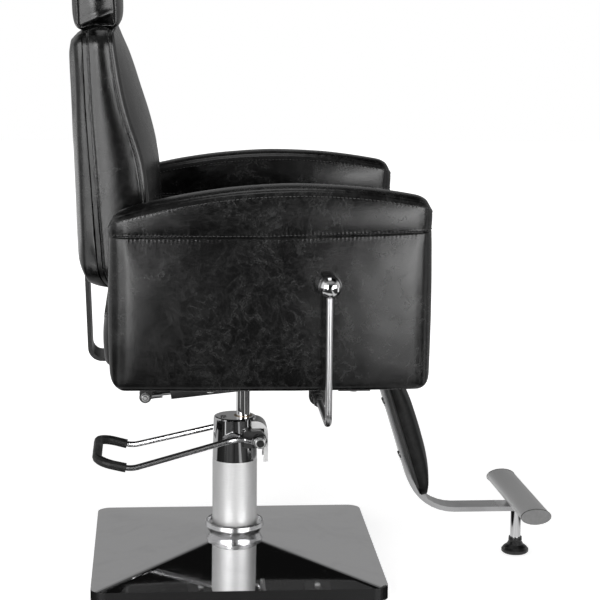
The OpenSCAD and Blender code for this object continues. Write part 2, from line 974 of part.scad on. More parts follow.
module pedal_eye() {
    difference() {
        union() {
            x_cylinder(pedal_pivot, eye_r, eye_x - eye_t / 2, eye_x + eye_t / 2);
            translate(pedal_pivot + [eye_x, 0, 0])
                rotate([eye_pitch, 0, 0])
                    translate([-eye_t / 2, 0, -pedal_rod_r])
                        cube([eye_t, eye_neck + 1, 2 * pedal_rod_r]);
        }
        x_cylinder(pedal_pivot, shaft_r + run_gap, 0, 2 * eye_x);
    }
}

module pedal_rubber() {
    color("#202020")
        swept_sleeve(rubber_path, pedal_rubber_d / 2, pedal_rod_r + rubber_bore_gap, [0, 0, 1], sweep_sides);
}

// ---------- Seat ----------

module seat_mount() {
    z = seat_frame_z - mount_plate_t;
    color("#303030")
        translate([0, axis_y, 0])
            difference() {
                union() {
                    translate([0, 0, z - socket_h])
                        cylinder(r = socket_r, h = socket_h + eps, $fn = round_fn);
                    translate([-mount_plate_w / 2, -mount_plate_l / 2, z])
                        cube([mount_plate_w, mount_plate_l, mount_plate_t]);
                }
                translate([0, 0, z - socket_h - 1])
                    cylinder(r = rod_r + run_gap, h = rod_top_z + rest_gap - z + socket_h + 1, $fn = round_fn);
                for (x = [-1, 1], y = [-1, 1])
                    translate([x * mount_bolt_x, y * mount_rail_half, z - 1])
                        cylinder(r = small_bolt_r + bolt_gap, h = mount_plate_t + 2, $fn = round_fn);
            }
}

module mount_bolts() {
    z = seat_frame_z - mount_plate_t;
    color("#909090")
        for (x = [-1, 1], y = [-1, 1])
            translate([x * mount_bolt_x, axis_y + y * mount_rail_half, z])
                bolt_up(small_bolt_r, small_head_r, small_head_h, mount_plate_t + frame_wall + 4);
}

module rail(size) {
    cube(size);
}

module seat_frame() {
    rail_l = rail_rear_y - rail_front_y + frame_tube;
    bore = frame_tube - 2 * frame_wall;
    cross_bore = bore - 1;
    bolt_spots = concat(
        [for (x = [-1, 1], y = [-1, 1]) [x * mount_bolt_x, axis_y + y * mount_rail_half]],
        [for (x = [-1, 1], y = leg_rail_y) [x * leg_bolt_x, y]],
        [for (x = [-1, 1], y = arm_bracket_y) [x * side_rail_x, y]]
    );
    color("#282828")
        difference() {
            union() {
                for (side = [-1, 1])
                    translate([side * side_rail_x - frame_tube / 2, rail_front_y - frame_tube / 2, seat_frame_z])
                        rail([frame_tube, rail_l, frame_tube]);
                for (y = cross_rails)
                    translate([-side_rail_x, y - frame_tube / 2, seat_frame_z])
                        rail([2 * side_rail_x, frame_tube, frame_tube]);
                for (side = [-1, 1])
                    hinge_ear(side);
            }
            for (side = [-1, 1])
                translate([side * side_rail_x - bore / 2, rail_front_y - frame_tube, seat_frame_z + frame_wall])
                    rail([bore, rail_l + frame_tube, bore]);
            for (y = cross_rails)
                translate([-side_rail_x, y - cross_bore / 2, seat_frame_z + (frame_tube - cross_bore) / 2])
                    rail([2 * side_rail_x, cross_bore, cross_bore]);
            x_cylinder(hinge, hinge_pin_r + run_gap, -barrel_half_l - 20, barrel_half_l + 20);
            for (p = bolt_spots)
                translate([p[0], p[1], seat_frame_z - 1])
                    cylinder(r = small_bolt_r + bolt_gap, h = frame_wall + 2, $fn = round_fn);
        }
}

// Plate from the rear rail down to the recline hinge
module hinge_ear(side) {
    x_in = barrel_half_l + rest_gap;
    x0 = side > 0 ? x_in : -x_in - ear_t;
    rail_y = rail_rear_y;
    across(x0, x0 + ear_t) {
        translate([hinge[1], hinge[2]])
            circle(r = ear_r, $fn = round_fn);
        polygon([
            [rail_y, frame_top_z],
            [rail_y, seat_frame_z],
            [hinge[1], hinge[2] - ear_r * 0.6],
            [hinge[1] + ear_r * 0.6, hinge[2] + ear_r * 0.3],
            [hinge[1] + 2, frame_top_z - 6]
        ]);
    }
}

module hinge_pin() {
    half = barrel_half_l + rest_gap + ear_t;
    color("#909090") {
        x_cylinder(hinge, hinge_pin_r, -half, half);
        for (side = [-1, 1])
            hex_x(hinge, hinge_pin_r + 4, side > 0 ? half : -half - hinge_head_h, side > 0 ? half + hinge_head_h : -half);
    }
}

module board_block(gap) {
    y0 = -seat_front + board_inset;
    y1 = seat_rear - board_inset;
    translate([-seat_w / 2 + board_inset - gap, y0 - gap, frame_top_z - gap])
        cube([seat_w - 2 * board_inset + 2 * gap, y1 - y0 + 2 * gap, seat_board_t + 2 * gap]);
}

module seat_board() {
    color("#9b7a4d")
        board_block(0);
}

// Crowned cushion with drawn-in sides over the board
module seat_cushion() {
    a = seat_w / 2;
    b = (seat_front + seat_rear) / 2;
    mid_y = (seat_rear - seat_front) / 2;
    h = seat_top_z - frame_top_z;
    // Share of the height and inset of each ring
    rings = [[0, 12], [0.06, 4], [0.2, 0], [0.45, 1], [0.66, 1], [0.82, 8], [0.91, 22], [0.965, 52], [0.99, 105]];
    color("#1c1c1c")
        difference() {
            loft([
                for (s = rings)
                    [for (p = squircle(a - s[1], b - s[1], 7, 44)) [p[0], p[1] + mid_y, frame_top_z + s[0] * h]]
            ]);
            board_block(rest_gap);
        }
}

// ---------- Armrests ----------

// Arched side outline, clockwise in a view with +Y to the right
function arch_z(y) = arm_crest_z - arm_arch_r + sqrt(arm_arch_r * arm_arch_r - (y - arm_crest_y) * (y - arm_crest_y));
arch_in = 30;
arm_corners = concat(
    [[-arm_front, arch_z(-arm_front)]],
    [for (i = [0:arm_arch_steps]) let (y = -arm_front + arch_in + i * (arm_front + arm_rear - 2 * arch_in) / arm_arch_steps) [y, arch_z(y)]],
    [[arm_rear, arch_z(arm_rear)], [arm_rear, arm_bottom_z + 62], [arm_rear - 14, arm_bottom_z], [-arm_front, arm_bottom_z]]
);
arm_radii = concat([22], [for (i = [0:arm_arch_steps]) 0], [16, 40, 20, 24]);
arm_outline = bent_loop(arm_corners, arm_radii, 5);

// Padded arm from its inner to its outer face; rounded edges and slightly crowned faces
module arm_form() {
    // Distance from the middle plane, inset and share of each ring
    stations = [
        [-1, 16, 0.72], [-0.97, 12, 1], [-0.86, 5, 1], [-0.62, 1, 1], [-0.3, 0, 1],
        [0.3, 0, 1], [0.62, 1, 1], [0.86, 5, 1], [0.97, 12, 1], [1, 16, 0.72]
    ];
    loft([for (s = stations) side_ring(arm_outline, s[0] * arm_half_t, s[1], s[2])]);
}

module arm_bolt_bores() {
    for (y = arm_bracket_y)
        translate([0, y, arm_bottom_z - 1])
            cylinder(r = small_bolt_r + bolt_gap, h = 40, $fn = round_fn);
}

module right_armrest() {
    color("#1c1c1c")
        translate([right * arm_x, 0, 0])
            difference() {
                arm_form();
                arm_bolt_bores();
            }
}

module left_armrest() {
    color("#1c1c1c")
        translate([left * arm_x, 0, 0])
            difference() {
                arm_form();
                arm_bolt_bores();
            }
}

// Flat plates that tie each armrest to the side rail
module arm_brackets() {
    z = seat_frame_z - arm_bracket_t;
    x0 = side_rail_x - frame_tube / 2;
    x1 = arm_x + 20;
    color("#303030")
        for (side = [0, 1], y = arm_bracket_y)
            mirror([side, 0, 0])
                difference() {
                    translate([x0, y - arm_bracket_l / 2, z])
                        cube([x1 - x0, arm_bracket_l, arm_bracket_t]);
                    for (x = arm_bolt_x)
                        translate([x, y, z - 1])
                            cylinder(r = small_bolt_r + bolt_gap, h = arm_bracket_t + 2, $fn = round_fn);
                }
}

module arm_bolts() {
    z = seat_frame_z - arm_bracket_t;
    color("#909090")
        for (side = [-1, 1], x = arm_bolt_x, y = arm_bracket_y)
            translate([side * x, y, z])
                bolt_up(small_bolt_r, small_head_r, small_head_h, arm_bracket_t + frame_wall + 12);
}

// ---------- Back ----------

// Places a child built about the rear foot of the back board
module on_back() {
    translate(back_origin)
        rotate([-back_lean, 0, 0])
            children();
}

// Hinge barrel, gas spring lugs and the flat bar up behind the back board
module back_bracket() {
    bar_z = hinge[2];
    up = [sin(back_lean), cos(back_lean)];
    foot = [back_origin[1] + rest_gap + bracket_t / 2, back_origin[2]];
    corner_y = foot[0] - (foot[1] - bar_z) * up[0] / up[1];
    path = bent_path([
        [hinge[1] + hinge_pin_r + 1, bar_z],
        [corner_y, bar_z],
        foot + up * bracket_top
    ], [bar_bend_r], arc_steps);
    color("#282828")
        difference() {
            union() {
                x_cylinder(hinge, barrel_r, -barrel_half_l, barrel_half_l);
                across(-bracket_w / 2, bracket_w / 2)
                    polygon(strip(path, -bracket_t / 2, bracket_t / 2));
                for (side = [-1, 1])
                    gas_lug(gas_x + side * (lug_in + lug_t / 2));
            }
            x_cylinder(hinge, hinge_pin_r + run_gap, -barrel_half_l - 1, barrel_half_l + 1);
            x_cylinder(gas_rear, gas_pin_r + rest_gap, gas_x - 40, gas_x + 40);
            back_screw_places()
                cylinder(r = screw_r + bolt_gap, h = 40, center = true, $fn = round_fn);
        }
}

module gas_lug(x) {
    down = unit([gas_rear[1] - hinge[1], gas_rear[2] - hinge[2]]);
    side = [-down[1], down[0]] * lug_r;
    top = [hinge[1], hinge[2]];
    low = [gas_rear[1], gas_rear[2]];
    across(x - lug_t / 2, x + lug_t / 2) {
        translate(low)
            circle(r = lug_r, $fn = round_fn);
        polygon([top + side, top - side, low - side, low + side]);
    }
}

// Shouldered pin through the lugs and the eye of the gas rod
module gas_pin() {
    outer = lug_in + lug_t;
    color("#a0a0a0") {
        x_cylinder(gas_rear, gas_pin_r, gas_x - outer, gas_x + outer);
        for (side = [0, 1])
            translate([gas_x, 0, 0])
                mirror([side, 0, 0])
                    x_cylinder(gas_rear - [gas_x, 0, 0], gas_shoulder_r, rod_eye_t / 2 + 1, lug_in - rest_gap);
        hex_x(gas_rear, gas_pin_r * 2.3, gas_x - outer - 7, gas_x - outer);
        hex_x(gas_rear, gas_pin_r * 2.3, gas_x + outer, gas_x + outer + 7);
    }
}

module back_screw_places() {
    on_back()
        for (x = [-1, 1], z = back_screw_z)
            translate([x * back_screw_x, 0, z])
                rotate([90, 0, 0])
                    children();
}

module back_board() {
    color("#9b7a4d")
        on_back()
            difference() {
                translate([-back_board_w / 2, -back_board_t, back_board_foot])
                    cube([back_board_w, back_board_t, back_board_l]);
                for (x = [-1, 1], z = back_screw_z)
                    translate([x * back_screw_x, 1, z])
                        rotate([90, 0, 0])
                            cylinder(r = screw_r + bolt_gap, h = back_board_t + 2, $fn = round_fn);
            }
}

// Front of the back at a share of its height: depth ahead of the board's rear face
function front_depth(t) = t < back_full_z
    ? back_depth * (0.88 + 0.12 * sin(90 * t / back_full_z))
    : back_top_depth + (back_depth - back_top_depth) * cos(90 * (t - back_full_z) / (1 - back_full_z));

back_steps = 24;

// Flat-backed outline at one height of the back, clockwise seen from above
function back_ring(half_w, flat_y, bulge, square_x, square_y, z) = concat(
    [
        for (i = [0:back_steps])
            let (t = -180 * i / back_steps)
            [half_w * spow(cos(t), square_x), flat_y + bulge * spow(sin(t), square_y), z]
    ],
    [for (i = [1:5]) [-half_w + 2 * half_w * i / 6, flat_y, z]]
);

// Padded front with a full lumbar crown and rounded ends, hollowed for the headrest guides
module back_cushion() {
    seam_y = -back_board_t - rest_gap;
    // Share of the height, inset of the sides, set-in of the rear face and share of the depth of each ring
    rings = [
        [0, 42, 36, 0.44], [0.01, 28, 20, 0.6], [0.03, 15, 6, 0.77], [0.06, 7, 0, 0.88], [0.11, 2, 0, 0.96],
        [0.2, 0, 0, 1], [0.36, 0, 0, 1], [0.52, 1, 0, 1], [0.7, 2, 0, 1], [0.86, 3, 0, 1], [0.95, 5, 0, 0.99],
        [0.985, 10, 0, 0.94], [1, 20, 0, 0.82]
    ];
    color("#1c1c1c")
        on_back()
            difference() {
                loft([
                    for (s = rings)
                        let (
                            flat_y = seam_y - s[2],
                            front = front_depth(s[0]) * s[3]
                        )
                        back_ring(back_w / 2 - s[1], flat_y, front + flat_y, 0.36, 0.62, s[0] * back_rise)
                ]);
                for (side = [-1, 1])
                    translate([side * post_spacing / 2, post_y, back_rise - guide_l - rest_gap])
                        cylinder(r = guide_r + rest_gap, h = guide_l + 20, $fn = round_fn);
            }
}

// A ring turned over in the plane Y = 0, still clockwise
function mirror_y(ring) = [for (i = [len(ring) - 1:-1:0]) [ring[i][0], -ring[i][1], ring[i][2]]];

// Padded rear shell wrapped round the board, with a pocket for the bracket bar
module back_panel() {
    full = back_board_t + back_panel_t;
    // Share of the height, inset of the sides and share of the thickness of each ring
    rings = [
        [0.03, 15, 0.06], [0.045, 9, 0.2], [0.07, 5, 0.5], [0.1, 2, 0.76], [0.14, 0, 0.94], [0.24, 0, 1], [0.6, 0, 1],
        [0.86, 1, 1], [0.95, 4, 0.95], [0.985, 9, 0.8], [1, 18, 0.5]
    ];
    color("#1c1c1c")
        on_back()
            difference() {
                loft([
                    for (s = rings)
                        mirror_y(back_ring(back_w / 2 - s[1], back_board_t, full * s[2], 0.3, 0.85, s[0] * back_rise))
                ]);
                translate([-back_board_w / 2 - rest_gap, -back_board_t - 1, back_board_foot - rest_gap])
                    cube([back_board_w + 2 * rest_gap, back_board_t + 1 + rest_gap, back_board_l + 2 * rest_gap]);
                translate([-bracket_w / 2 - rest_gap, -1, -1])
                    cube([bracket_w + 2 * rest_gap, bracket_t + 1 + 2 * rest_gap, bracket_top + 1 + rest_gap]);
                for (x = [-1, 1], z = back_screw_z)
                    translate([x * back_screw_x, back_panel_t + 10, z])
                        rotate([90, 0, 0])
                            cylinder(r = screw_head_r + rest_gap, h = back_panel_t + 10 - bracket_t, $fn = round_fn);
            }
}

// Screws through the rear panel and the bar into the board
module back_screws() {
    face = bracket_t + rest_gap;
    color("#303030")
        on_back()
            for (x = [-1, 1], z = back_screw_z)
                translate([x * back_screw_x, face, z])
                    rotate([90, 0, 0]) {
                        translate([0, 0, -back_head_h])
                            cylinder(r = screw_head_r, h = back_head_h, $fn = round_fn);
                        translate([0, 0, -eps])
                            cylinder(r = screw_r, h = face + back_board_t - 1, $fn = round_fn);
                    }
}

// ---------- Headrest ----------

module headrest_guides() {
    color("#808080")
        on_back()
            for (side = [-1, 1])
                translate([side * post_spacing / 2, post_y, back_rise - guide_l])
                    difference() {
                        cylinder(r = guide_r, h = guide_l, $fn = round_fn);
                        translate([0, 0, -1])
                            cylinder(r = post_r + run_gap, h = guide_l + 2, $fn = round_fn);
                    }
}

module headrest_posts() {
    post_l = post_depth + headrest_gap + headrest_board_margin + headrest_board_h - 10;
    color("#c8c8c8")
        on_back()
            for (side = [-1, 1])
                translate([side * post_spacing / 2, post_y, back_rise - post_depth])
                    cylinder(r = post_r, h = post_l, $fn = round_fn);
}

module headrest_board_block(gap) {
    w = headrest_w - 2 * headrest_board_margin;
    translate([-w / 2 - gap, post_y - headrest_board_t / 2 - post_r - gap, headrest_base + headrest_board_margin - gap])
        cube([w + 2 * gap, headrest_board_t + post_r + 2 * gap, headrest_board_h + 2 * gap]);
}

module headrest_post_bores(gap) {
    for (side = [-1, 1])
        translate([side * post_spacing / 2, post_y, headrest_base - bore_lead])
            cylinder(r = post_r + gap, h = headrest_board_margin + headrest_board_h - bore_lead + gap, $fn = round_fn);
}

module headrest_board() {
    color("#9b7a4d")
        on_back()
            difference() {
                headrest_board_block(0);
                headrest_post_bores(run_gap);
            }
}

// Side outline of the headrest, clockwise with +Y to the right
module headrest_pad() {
    half_t = headrest_t / 2;
    half_h = headrest_h / 2;
    outline = [for (p = squircle(half_t, half_h, 3.4, 32)) [p[0] + headrest_y, p[1] + headrest_base + half_h]];
    half_w = headrest_w / 2;
    // Share of the half width, inset and share of each ring
    stations = [
        [-1, 10, 0.7], [-0.985, 6, 1], [-0.93, 1, 1], [-0.6, 0, 1], [-0.25, -1, 1],
        [0.25, -1, 1], [0.6, 0, 1], [0.93, 1, 1], [0.985, 6, 1], [1, 10, 0.7]
    ];
    color("#1c1c1c")
        on_back()
            difference() {
                loft([for (s = stations) side_ring(outline, s[0] * half_w, s[1], s[2])]);
                headrest_board_block(rest_gap);
                headrest_post_bores(rest_gap);
            }
}

// ---------- Gas spring and release ----------

// Places a child built along +Y from the front pivot of the gas spring
module along_gas() {
    translate(gas_front)
        rotate([-gas_pitch, 0, 0])
            children();
}

module y_cylinder(r, y0, y1) {
    translate([0, y0, 0])
        rotate([-90, 0, 0])
            cylinder(r = r, h = y1 - y0, $fn = round_fn);
}

// Two ears under the frame that take the trunnions of the gas spring
module gas_bracket() {
    x_in = gas_block_w / 2 + rest_gap;
    color("#303030")
        difference() {
            for (side = [-1, 1])
                translate([gas_x + (side > 0 ? x_in : -x_in - gas_ear_t), 0, 0])
                    across(0, gas_ear_t) {
                        translate([gas_front[1], gas_front[2]])
                            circle(r = gas_ear_t * 2, $fn = round_fn);
                        translate([gas_front[1] - gas_ear_t * 2, gas_front[2]])
                            square([gas_ear_t * 4, seat_frame_z - mount_plate_t - gas_front[2]]);
                    }
            x_cylinder(gas_front, trunnion_r + run_gap, gas_x - 40, gas_x + 40);
        }
}

module gas_cylinder() {
    half = gas_block / 2;
    color("#141414")
        along_gas()
            difference() {
                union() {
                    translate([-gas_block_w / 2, -half, -half])
                        cube([gas_block_w, gas_block, gas_block]);
                    x_cylinder([0, 0, 0], trunnion_r, -gas_block_w / 2 - trunnion_l, gas_block_w / 2 + trunnion_l);
                    y_cylinder(gas_r, half - eps, half + gas_body_l);
                    y_cylinder(shroud_r, shroud_start, shroud_end);
                }
                y_cylinder(shroud_bore_r, half + gas_body_l, shroud_end + 1);
                y_cylinder(gas_rod_r + run_gap, gas_rod_start - 60, shroud_end + 1);
                y_cylinder(release_pin_r + run_gap, -half - 1, release_pin_l);
            }
}

module gas_rod() {
    color("#c0c0c0")
        along_gas()
            difference() {
                union() {
                    y_cylinder(gas_rod_r, gas_rod_start, gas_length - rod_eye_r);
                    y_cylinder(rod_eye_r - 1, gas_length - rod_eye_r - 24, gas_length - rod_eye_r);
                    translate([-rod_eye_t / 2, gas_length - rod_eye_r - 4, -rod_eye_r + 2])
                        cube([rod_eye_t, 10, 2 * rod_eye_r - 4]);
                    x_cylinder([0, gas_length, 0], rod_eye_r, -rod_eye_t / 2, rod_eye_t / 2);
                }
                x_cylinder([0, gas_length, 0], open_pivot_r, -rod_eye_t, rod_eye_t);
            }
}

module release_pin() {
    color("#c0c0c0")
        along_gas()
            y_cylinder(release_pin_r, -gas_block / 2 - release_proud, release_pin_l - 6);
}

lever_axis = [0, lever_y, lever_z];

// Hanging plate with a stepped boss that carries the lever shaft
module lever_bracket() {
    color("#141414")
        difference() {
            union() {
                across(lever_web_x - lever_web_t / 2, lever_web_x + lever_web_t / 2)
                    translate([lever_y - lever_web_w / 2, lever_z])
                        square([lever_web_w, seat_frame_z - lever_z]);
                across(lever_web_x - lever_plate_w / 2, lever_web_x + lever_plate_w / 2)
                    translate([leg_rail_y[1] - frame_tube / 2, seat_frame_z - arm_bracket_t])
                        square([cross_rails[3] - leg_rail_y[1] + frame_tube, arm_bracket_t]);
                x_cylinder(lever_axis, lever_web_w / 2, lever_web_x - lever_web_t / 2, lever_web_x + lever_web_t / 2);
                x_cylinder(lever_axis, lever_boss_r, lever_web_x - 24, lever_web_x + 20);
                x_cylinder(lever_axis, lever_boss_r - 2, lever_web_x - 38, lever_web_x);
                hex_x(lever_axis, lever_boss_r - 1, lever_web_x - 52, lever_web_x - 40);
                x_cylinder(lever_axis, lever_boss_r - 4, lever_web_x - 56, lever_web_x);
            }
            x_cylinder(lever_axis, lever_r + run_gap, lever_web_x - 60, lever_web_x + 30);
        }
}

module recline_lever() {
    turn_x = lever_x + lever_bend_r;
    color("#c8c8c8") {
        x_cylinder(lever_axis, lever_r, turn_x, lever_end_x);
        translate([turn_x, lever_y, lever_z + lever_bend_r])
            rotate([90, 0, 0])
                rotate([0, 0, 180])
                    rotate_extrude(angle = 90, $fn = round_fn)
                        translate([lever_bend_r, 0])
                            circle(r = lever_r, $fn = round_fn);
        translate([lever_x, lever_y, lever_z + lever_bend_r])
            cylinder(r = lever_r, h = lever_ball_h - lever_bend_r - ball_seat, $fn = round_fn);
    }
}

module lever_ball() {
    color("#c8c8c8")
        translate([lever_x, lever_y, lever_z + lever_ball_h])
            difference() {
                sphere(r = ball_r, $fn = round_fn);
                translate([0, 0, -ball_r - 1])
                    cylinder(r = lever_r + run_gap, h = ball_r + 1 - ball_seat, $fn = round_fn);
            }
}

// Finger on the lever shaft that pushes the release pin
module lever_cam() {
    x0 = gas_x - cam_w / 2;
    tip_y = gas_front[1] - gas_block / 2 - release_proud;
    finger_y = tip_y - 2 * rest_gap - cam_finger_t;
    color("#404040")
        difference() {
            union() {
                x_cylinder(lever_axis, cam_r, x0, x0 + cam_w);
                translate([x0, finger_y, lever_z])
                    cube([cam_w, cam_finger_t, gas_front[2] - lever_z + 10]);
            }
            x_cylinder(lever_axis, lever_r + run_gap, x0 - 1, x0 + cam_w + 1);
        }
}

// ---------- Footrest ----------

module leg_bar() {
    color("#c8c8c8")
        difference() {
            across(-leg_bar_w / 2, leg_bar_w / 2)
                polygon(strip(leg_path, -leg_half_t, leg_half_t));
            for (x = [-1, 1], y = leg_rail_y)
                translate([x * leg_bolt_x, y, seat_frame_z - leg_bar_t - 1])
                    cylinder(r = small_bolt_r + bolt_gap, h = leg_bar_t + 2, $fn = round_fn);
            on_calf()
                for (x = [-1, 1], z = calf_screw_z)
                    translate([x * calf_screw_x, leg_bar_t, z])
                        rotate([90, 0, 0])
                            cylinder(r = screw_r + bolt_gap, h = 2 * leg_bar_t, $fn = round_fn);
            stud_hole();
        }
}

module leg_bolts() {
    z = seat_frame_z - leg_bar_t;
    color("#909090")
        for (x = [-1, 1], y = leg_rail_y)
            translate([x * leg_bolt_x, y, z])
                bolt_up(small_bolt_r, small_head_r, small_head_h, leg_bar_t + frame_wall + 6);
}

// Places a child on the sloping stretch of the bar, with Z up the slope
module on_calf() {
    translate([0, calf_centre[0], calf_centre[1]])
        rotate([-leg_slope, 0, 0])
            children();
}

module calf_board() {
    color("#141414")
        on_calf()
            difference() {
                translate([-calf_w / 2 + 4, -leg_half_t - calf_board_t, -calf_h / 2 + 4])
                    cube([calf_w - 8, calf_board_t, calf_h - 8]);
                for (x = [-1, 1], z = calf_screw_z)
                    translate([x * calf_screw_x, leg_bar_t, z])
                        rotate([90, 0, 0])
                            cylinder(r = screw_r + bolt_gap, h = leg_bar_t + leg_half_t + calf_board_t - 2, $fn = round_fn);
            }
}

module calf_pad() {
    face = -leg_half_t - calf_board_t - rest_gap;
    // Share of the thickness and inset of each ring, from the board outwards
    rings = [[0, 3], [0.15, 0], [0.45, 1], [0.66, 6], [0.82, 16], [0.93, 36], [0.985, 70]];
    color("#1c1c1c")
        on_calf()
            loft([
                for (s = rings)
                    [
                        for (p = squircle(calf_w / 2 - s[1], calf_h / 2 - s[1], 6, 40))
                            [p[0], face - s[0] * calf_pad_t, p[1]]
                    ]
            ]);
}

module calf_screws() {
    color("#303030")
        on_calf()
            for (x = [-1, 1], z = calf_screw_z)
                translate([x * calf_screw_x, leg_half_t, z])
                    rotate([90, 0, 0]) {
                        translate([0, 0, -calf_head_h])
                            cylinder(r = screw_head_r, h = calf_head_h, $fn = round_fn);
                        cylinder(r = screw_r, h = leg_bar_t + calf_board_t - calf_cover, $fn = round_fn);
                    }
}

function oval(w, h, n) = [for (i = [0:n - 1]) [w / 2 * cos(360 * i / n), h / 2 * sin(360 * i / n)]];

// Places a child on the footrest tube, with X along it
module on_foot_tube() {
    translate([0, foot_tube_y, foot_tube_z])
        rotate([0, 0, foot_tube_yaw])
            children();
}

module footrest_tube() {
    half = foot_tube_l / 2;
    color("#a8a8a8")
        difference() {
            on_foot_tube()
                across(-half, half)
                    difference() {
                        polygon(oval(foot_tube_w, foot_tube_h, 48));
                        polygon(oval(foot_tube_w - 2 * foot_tube_wall, foot_tube_h - 2 * foot_tube_wall, 48));
                    }
            stud_hole();
        }
}

// Clearance for the stud of the stand leg, through the bar and the tube's lower wall
module stud_hole() {
    translate([0, stand_y, leg_low_z - leg_bar_t])
        cylinder(r = stud_r + bolt_gap, h = 2 * leg_bar_t + foot_tube_h / 4, $fn = round_fn);
}

// Nut on the stud, inside the footrest tube
module stand_nut() {
    bore_w = foot_tube_w / 2 - foot_tube_wall;
    bore_h = foot_tube_h / 2 - foot_tube_wall;
    reach = stand_nut_r + abs(stand_y - foot_tube_y) + rest_gap;
    z = foot_tube_z - bore_h * sqrt(1 - pow(reach / bore_w, 2)) + rest_gap;
    color("#909090")
        translate([0, stand_y, z])
            difference() {
                cylinder(r = stand_nut_r, h = stand_nut_h, $fn = 6);
                translate([0, 0, -1])
                    cylinder(r = stud_r + run_gap, h = stand_nut_h + 2, $fn = round_fn);
            }
}

module footrest_caps() {
    half = foot_tube_l / 2;
    color("#a8a8a8")
        on_foot_tube()
            for (side = [0, 1])
                mirror([side, 0, 0]) {
                    across(half, half + foot_cap_t)
                        polygon(oval(foot_tube_w, foot_tube_h, 48));
                    across(half - 8, half + eps)
                        polygon(oval(foot_tube_w - 2 * foot_tube_wall - 1, foot_tube_h - 2 * foot_tube_wall - 1, 48));
                }
}

// Leg with a stud up through the bar
module stand_leg() {
    top = leg_low_z - leg_half_t;
    color("#c8c8c8")
        translate([0, stand_y, 0])
            difference() {
                union() {
                    translate([0, 0, stand_leg_bottom + rest_gap])
                        cylinder(r = stand_leg_d / 2, h = top - stand_leg_bottom - rest_gap, $fn = round_fn);
                    translate([0, 0, top - eps])
                        cylinder(r = stud_r, h = stud_l, $fn = round_fn);
                }
                translate([0, 0, stand_leg_bottom - 1])
                    cylinder(r = stem_r + run_gap, h = stem_socket, $fn = round_fn);
            }
}

// Flared rubber foot on a threaded stem
module stand_foot() {
    r = stand_foot_d / 2;
    h = stand_foot_h;
    color("#141414")
        translate([0, stand_y, stand_foot_clear]) {
            rotate_extrude($fn = round_fn)
                polygon([
                    [0, 0],
                    [r - 3, 0],
                    [r, 3],
                    [r, 8],
                    [r * 0.86, 13],
                    [r * 0.62, 18],
                    [r * 0.48, 25],
                    [r * 0.5, 28],
                    [r * 0.48, h],
                    [0, h]
                ]);
            cylinder(r = stem_r, h = h + stem_l, $fn = round_fn);
        }
}

floor_ring();
base_plate();
base_cover();
trim_ring();
pump_flange();
flange_bolts();
oil_reservoir();
pressure_tube();
pump_head();
pump_cap();
oil_plug();
pedal_bracket();
pump_guard();
pedal_spring();
pump_plunger();
pedal_shaft();
pedal_rod();
pedal_rubber();
pedal_crank();
pedal_nuts();
swivel_bush();
piston_rod();
seat_mount();
mount_bolts();
seat_frame();
seat_board();
seat_cushion();
right_armrest();
left_armrest();
arm_brackets();
arm_bolts();
hinge_pin();
back_bracket();
gas_pin();
back_board();
back_cushion();
back_panel();
back_screws();
headrest_guides();
headrest_posts();
headrest_board();
headrest_pad();
gas_bracket();
gas_cylinder();
gas_rod();
release_pin();
lever_bracket();
recline_lever();
lever_cam();
lever_ball();
leg_bar();
leg_bolts();
calf_board();
calf_pad();
calf_screws();
footrest_tube();
footrest_caps();
stand_leg();
stand_nut();
stand_foot();
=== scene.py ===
"""Looks of a hydraulic barber chair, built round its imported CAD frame. Lengths are in metres."""

import functools
import json
import math

import bmesh
import bpy
import numpy as np
from mathutils import Matrix, Vector, noise
from mathutils.bvhtree import BVHTree


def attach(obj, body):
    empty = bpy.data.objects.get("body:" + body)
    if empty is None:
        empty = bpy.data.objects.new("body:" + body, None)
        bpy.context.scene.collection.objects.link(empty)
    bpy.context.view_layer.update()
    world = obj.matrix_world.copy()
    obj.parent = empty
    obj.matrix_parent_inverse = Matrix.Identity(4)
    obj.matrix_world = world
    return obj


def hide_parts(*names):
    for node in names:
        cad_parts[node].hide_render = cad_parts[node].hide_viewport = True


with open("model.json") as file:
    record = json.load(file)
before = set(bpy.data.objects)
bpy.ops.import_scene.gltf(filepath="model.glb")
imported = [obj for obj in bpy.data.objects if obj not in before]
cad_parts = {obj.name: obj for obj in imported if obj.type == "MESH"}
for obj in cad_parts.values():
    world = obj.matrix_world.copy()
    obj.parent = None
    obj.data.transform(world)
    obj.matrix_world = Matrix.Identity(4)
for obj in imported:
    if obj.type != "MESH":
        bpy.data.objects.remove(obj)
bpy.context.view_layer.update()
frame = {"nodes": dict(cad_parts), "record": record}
scene = bpy.context.scene
scene.view_settings.view_transform = "Standard"

# ---------------------------------------------------------------- camera

CAMERA_AT = (-3.827, 0.163, 1.237)
YAW, PITCH, ROLL = math.radians(-4.41), math.radians(10.22), math.radians(0.53)
FOCAL_PX, FRAME_PX, SENSOR = 1912.0, 600.0, 36.0


def make_camera():
    ahead = Vector((math.cos(YAW) * math.cos(PITCH), math.sin(YAW) * math.cos(PITCH), -math.sin(PITCH)))
    right = ahead.cross(Vector((0, 0, 1))).normalized()
    up = right.cross(ahead)
    across = right * math.cos(ROLL) + up * math.sin(ROLL)
    upward = up * math.cos(ROLL) - right * math.sin(ROLL)
    data = bpy.data.cameras.new("camera")
    data.sensor_width = SENSOR
    data.lens = FOCAL_PX * SENSOR / FRAME_PX
    camera = bpy.data.objects.new("camera", data)
    turn = Matrix((across, upward, -ahead)).transposed()
    camera.matrix_world = Matrix.Translation(CAMERA_AT) @ turn.to_4x4()
    scene.collection.objects.link(camera)
    scene.camera = camera


# ---------------------------------------------------------------- materials


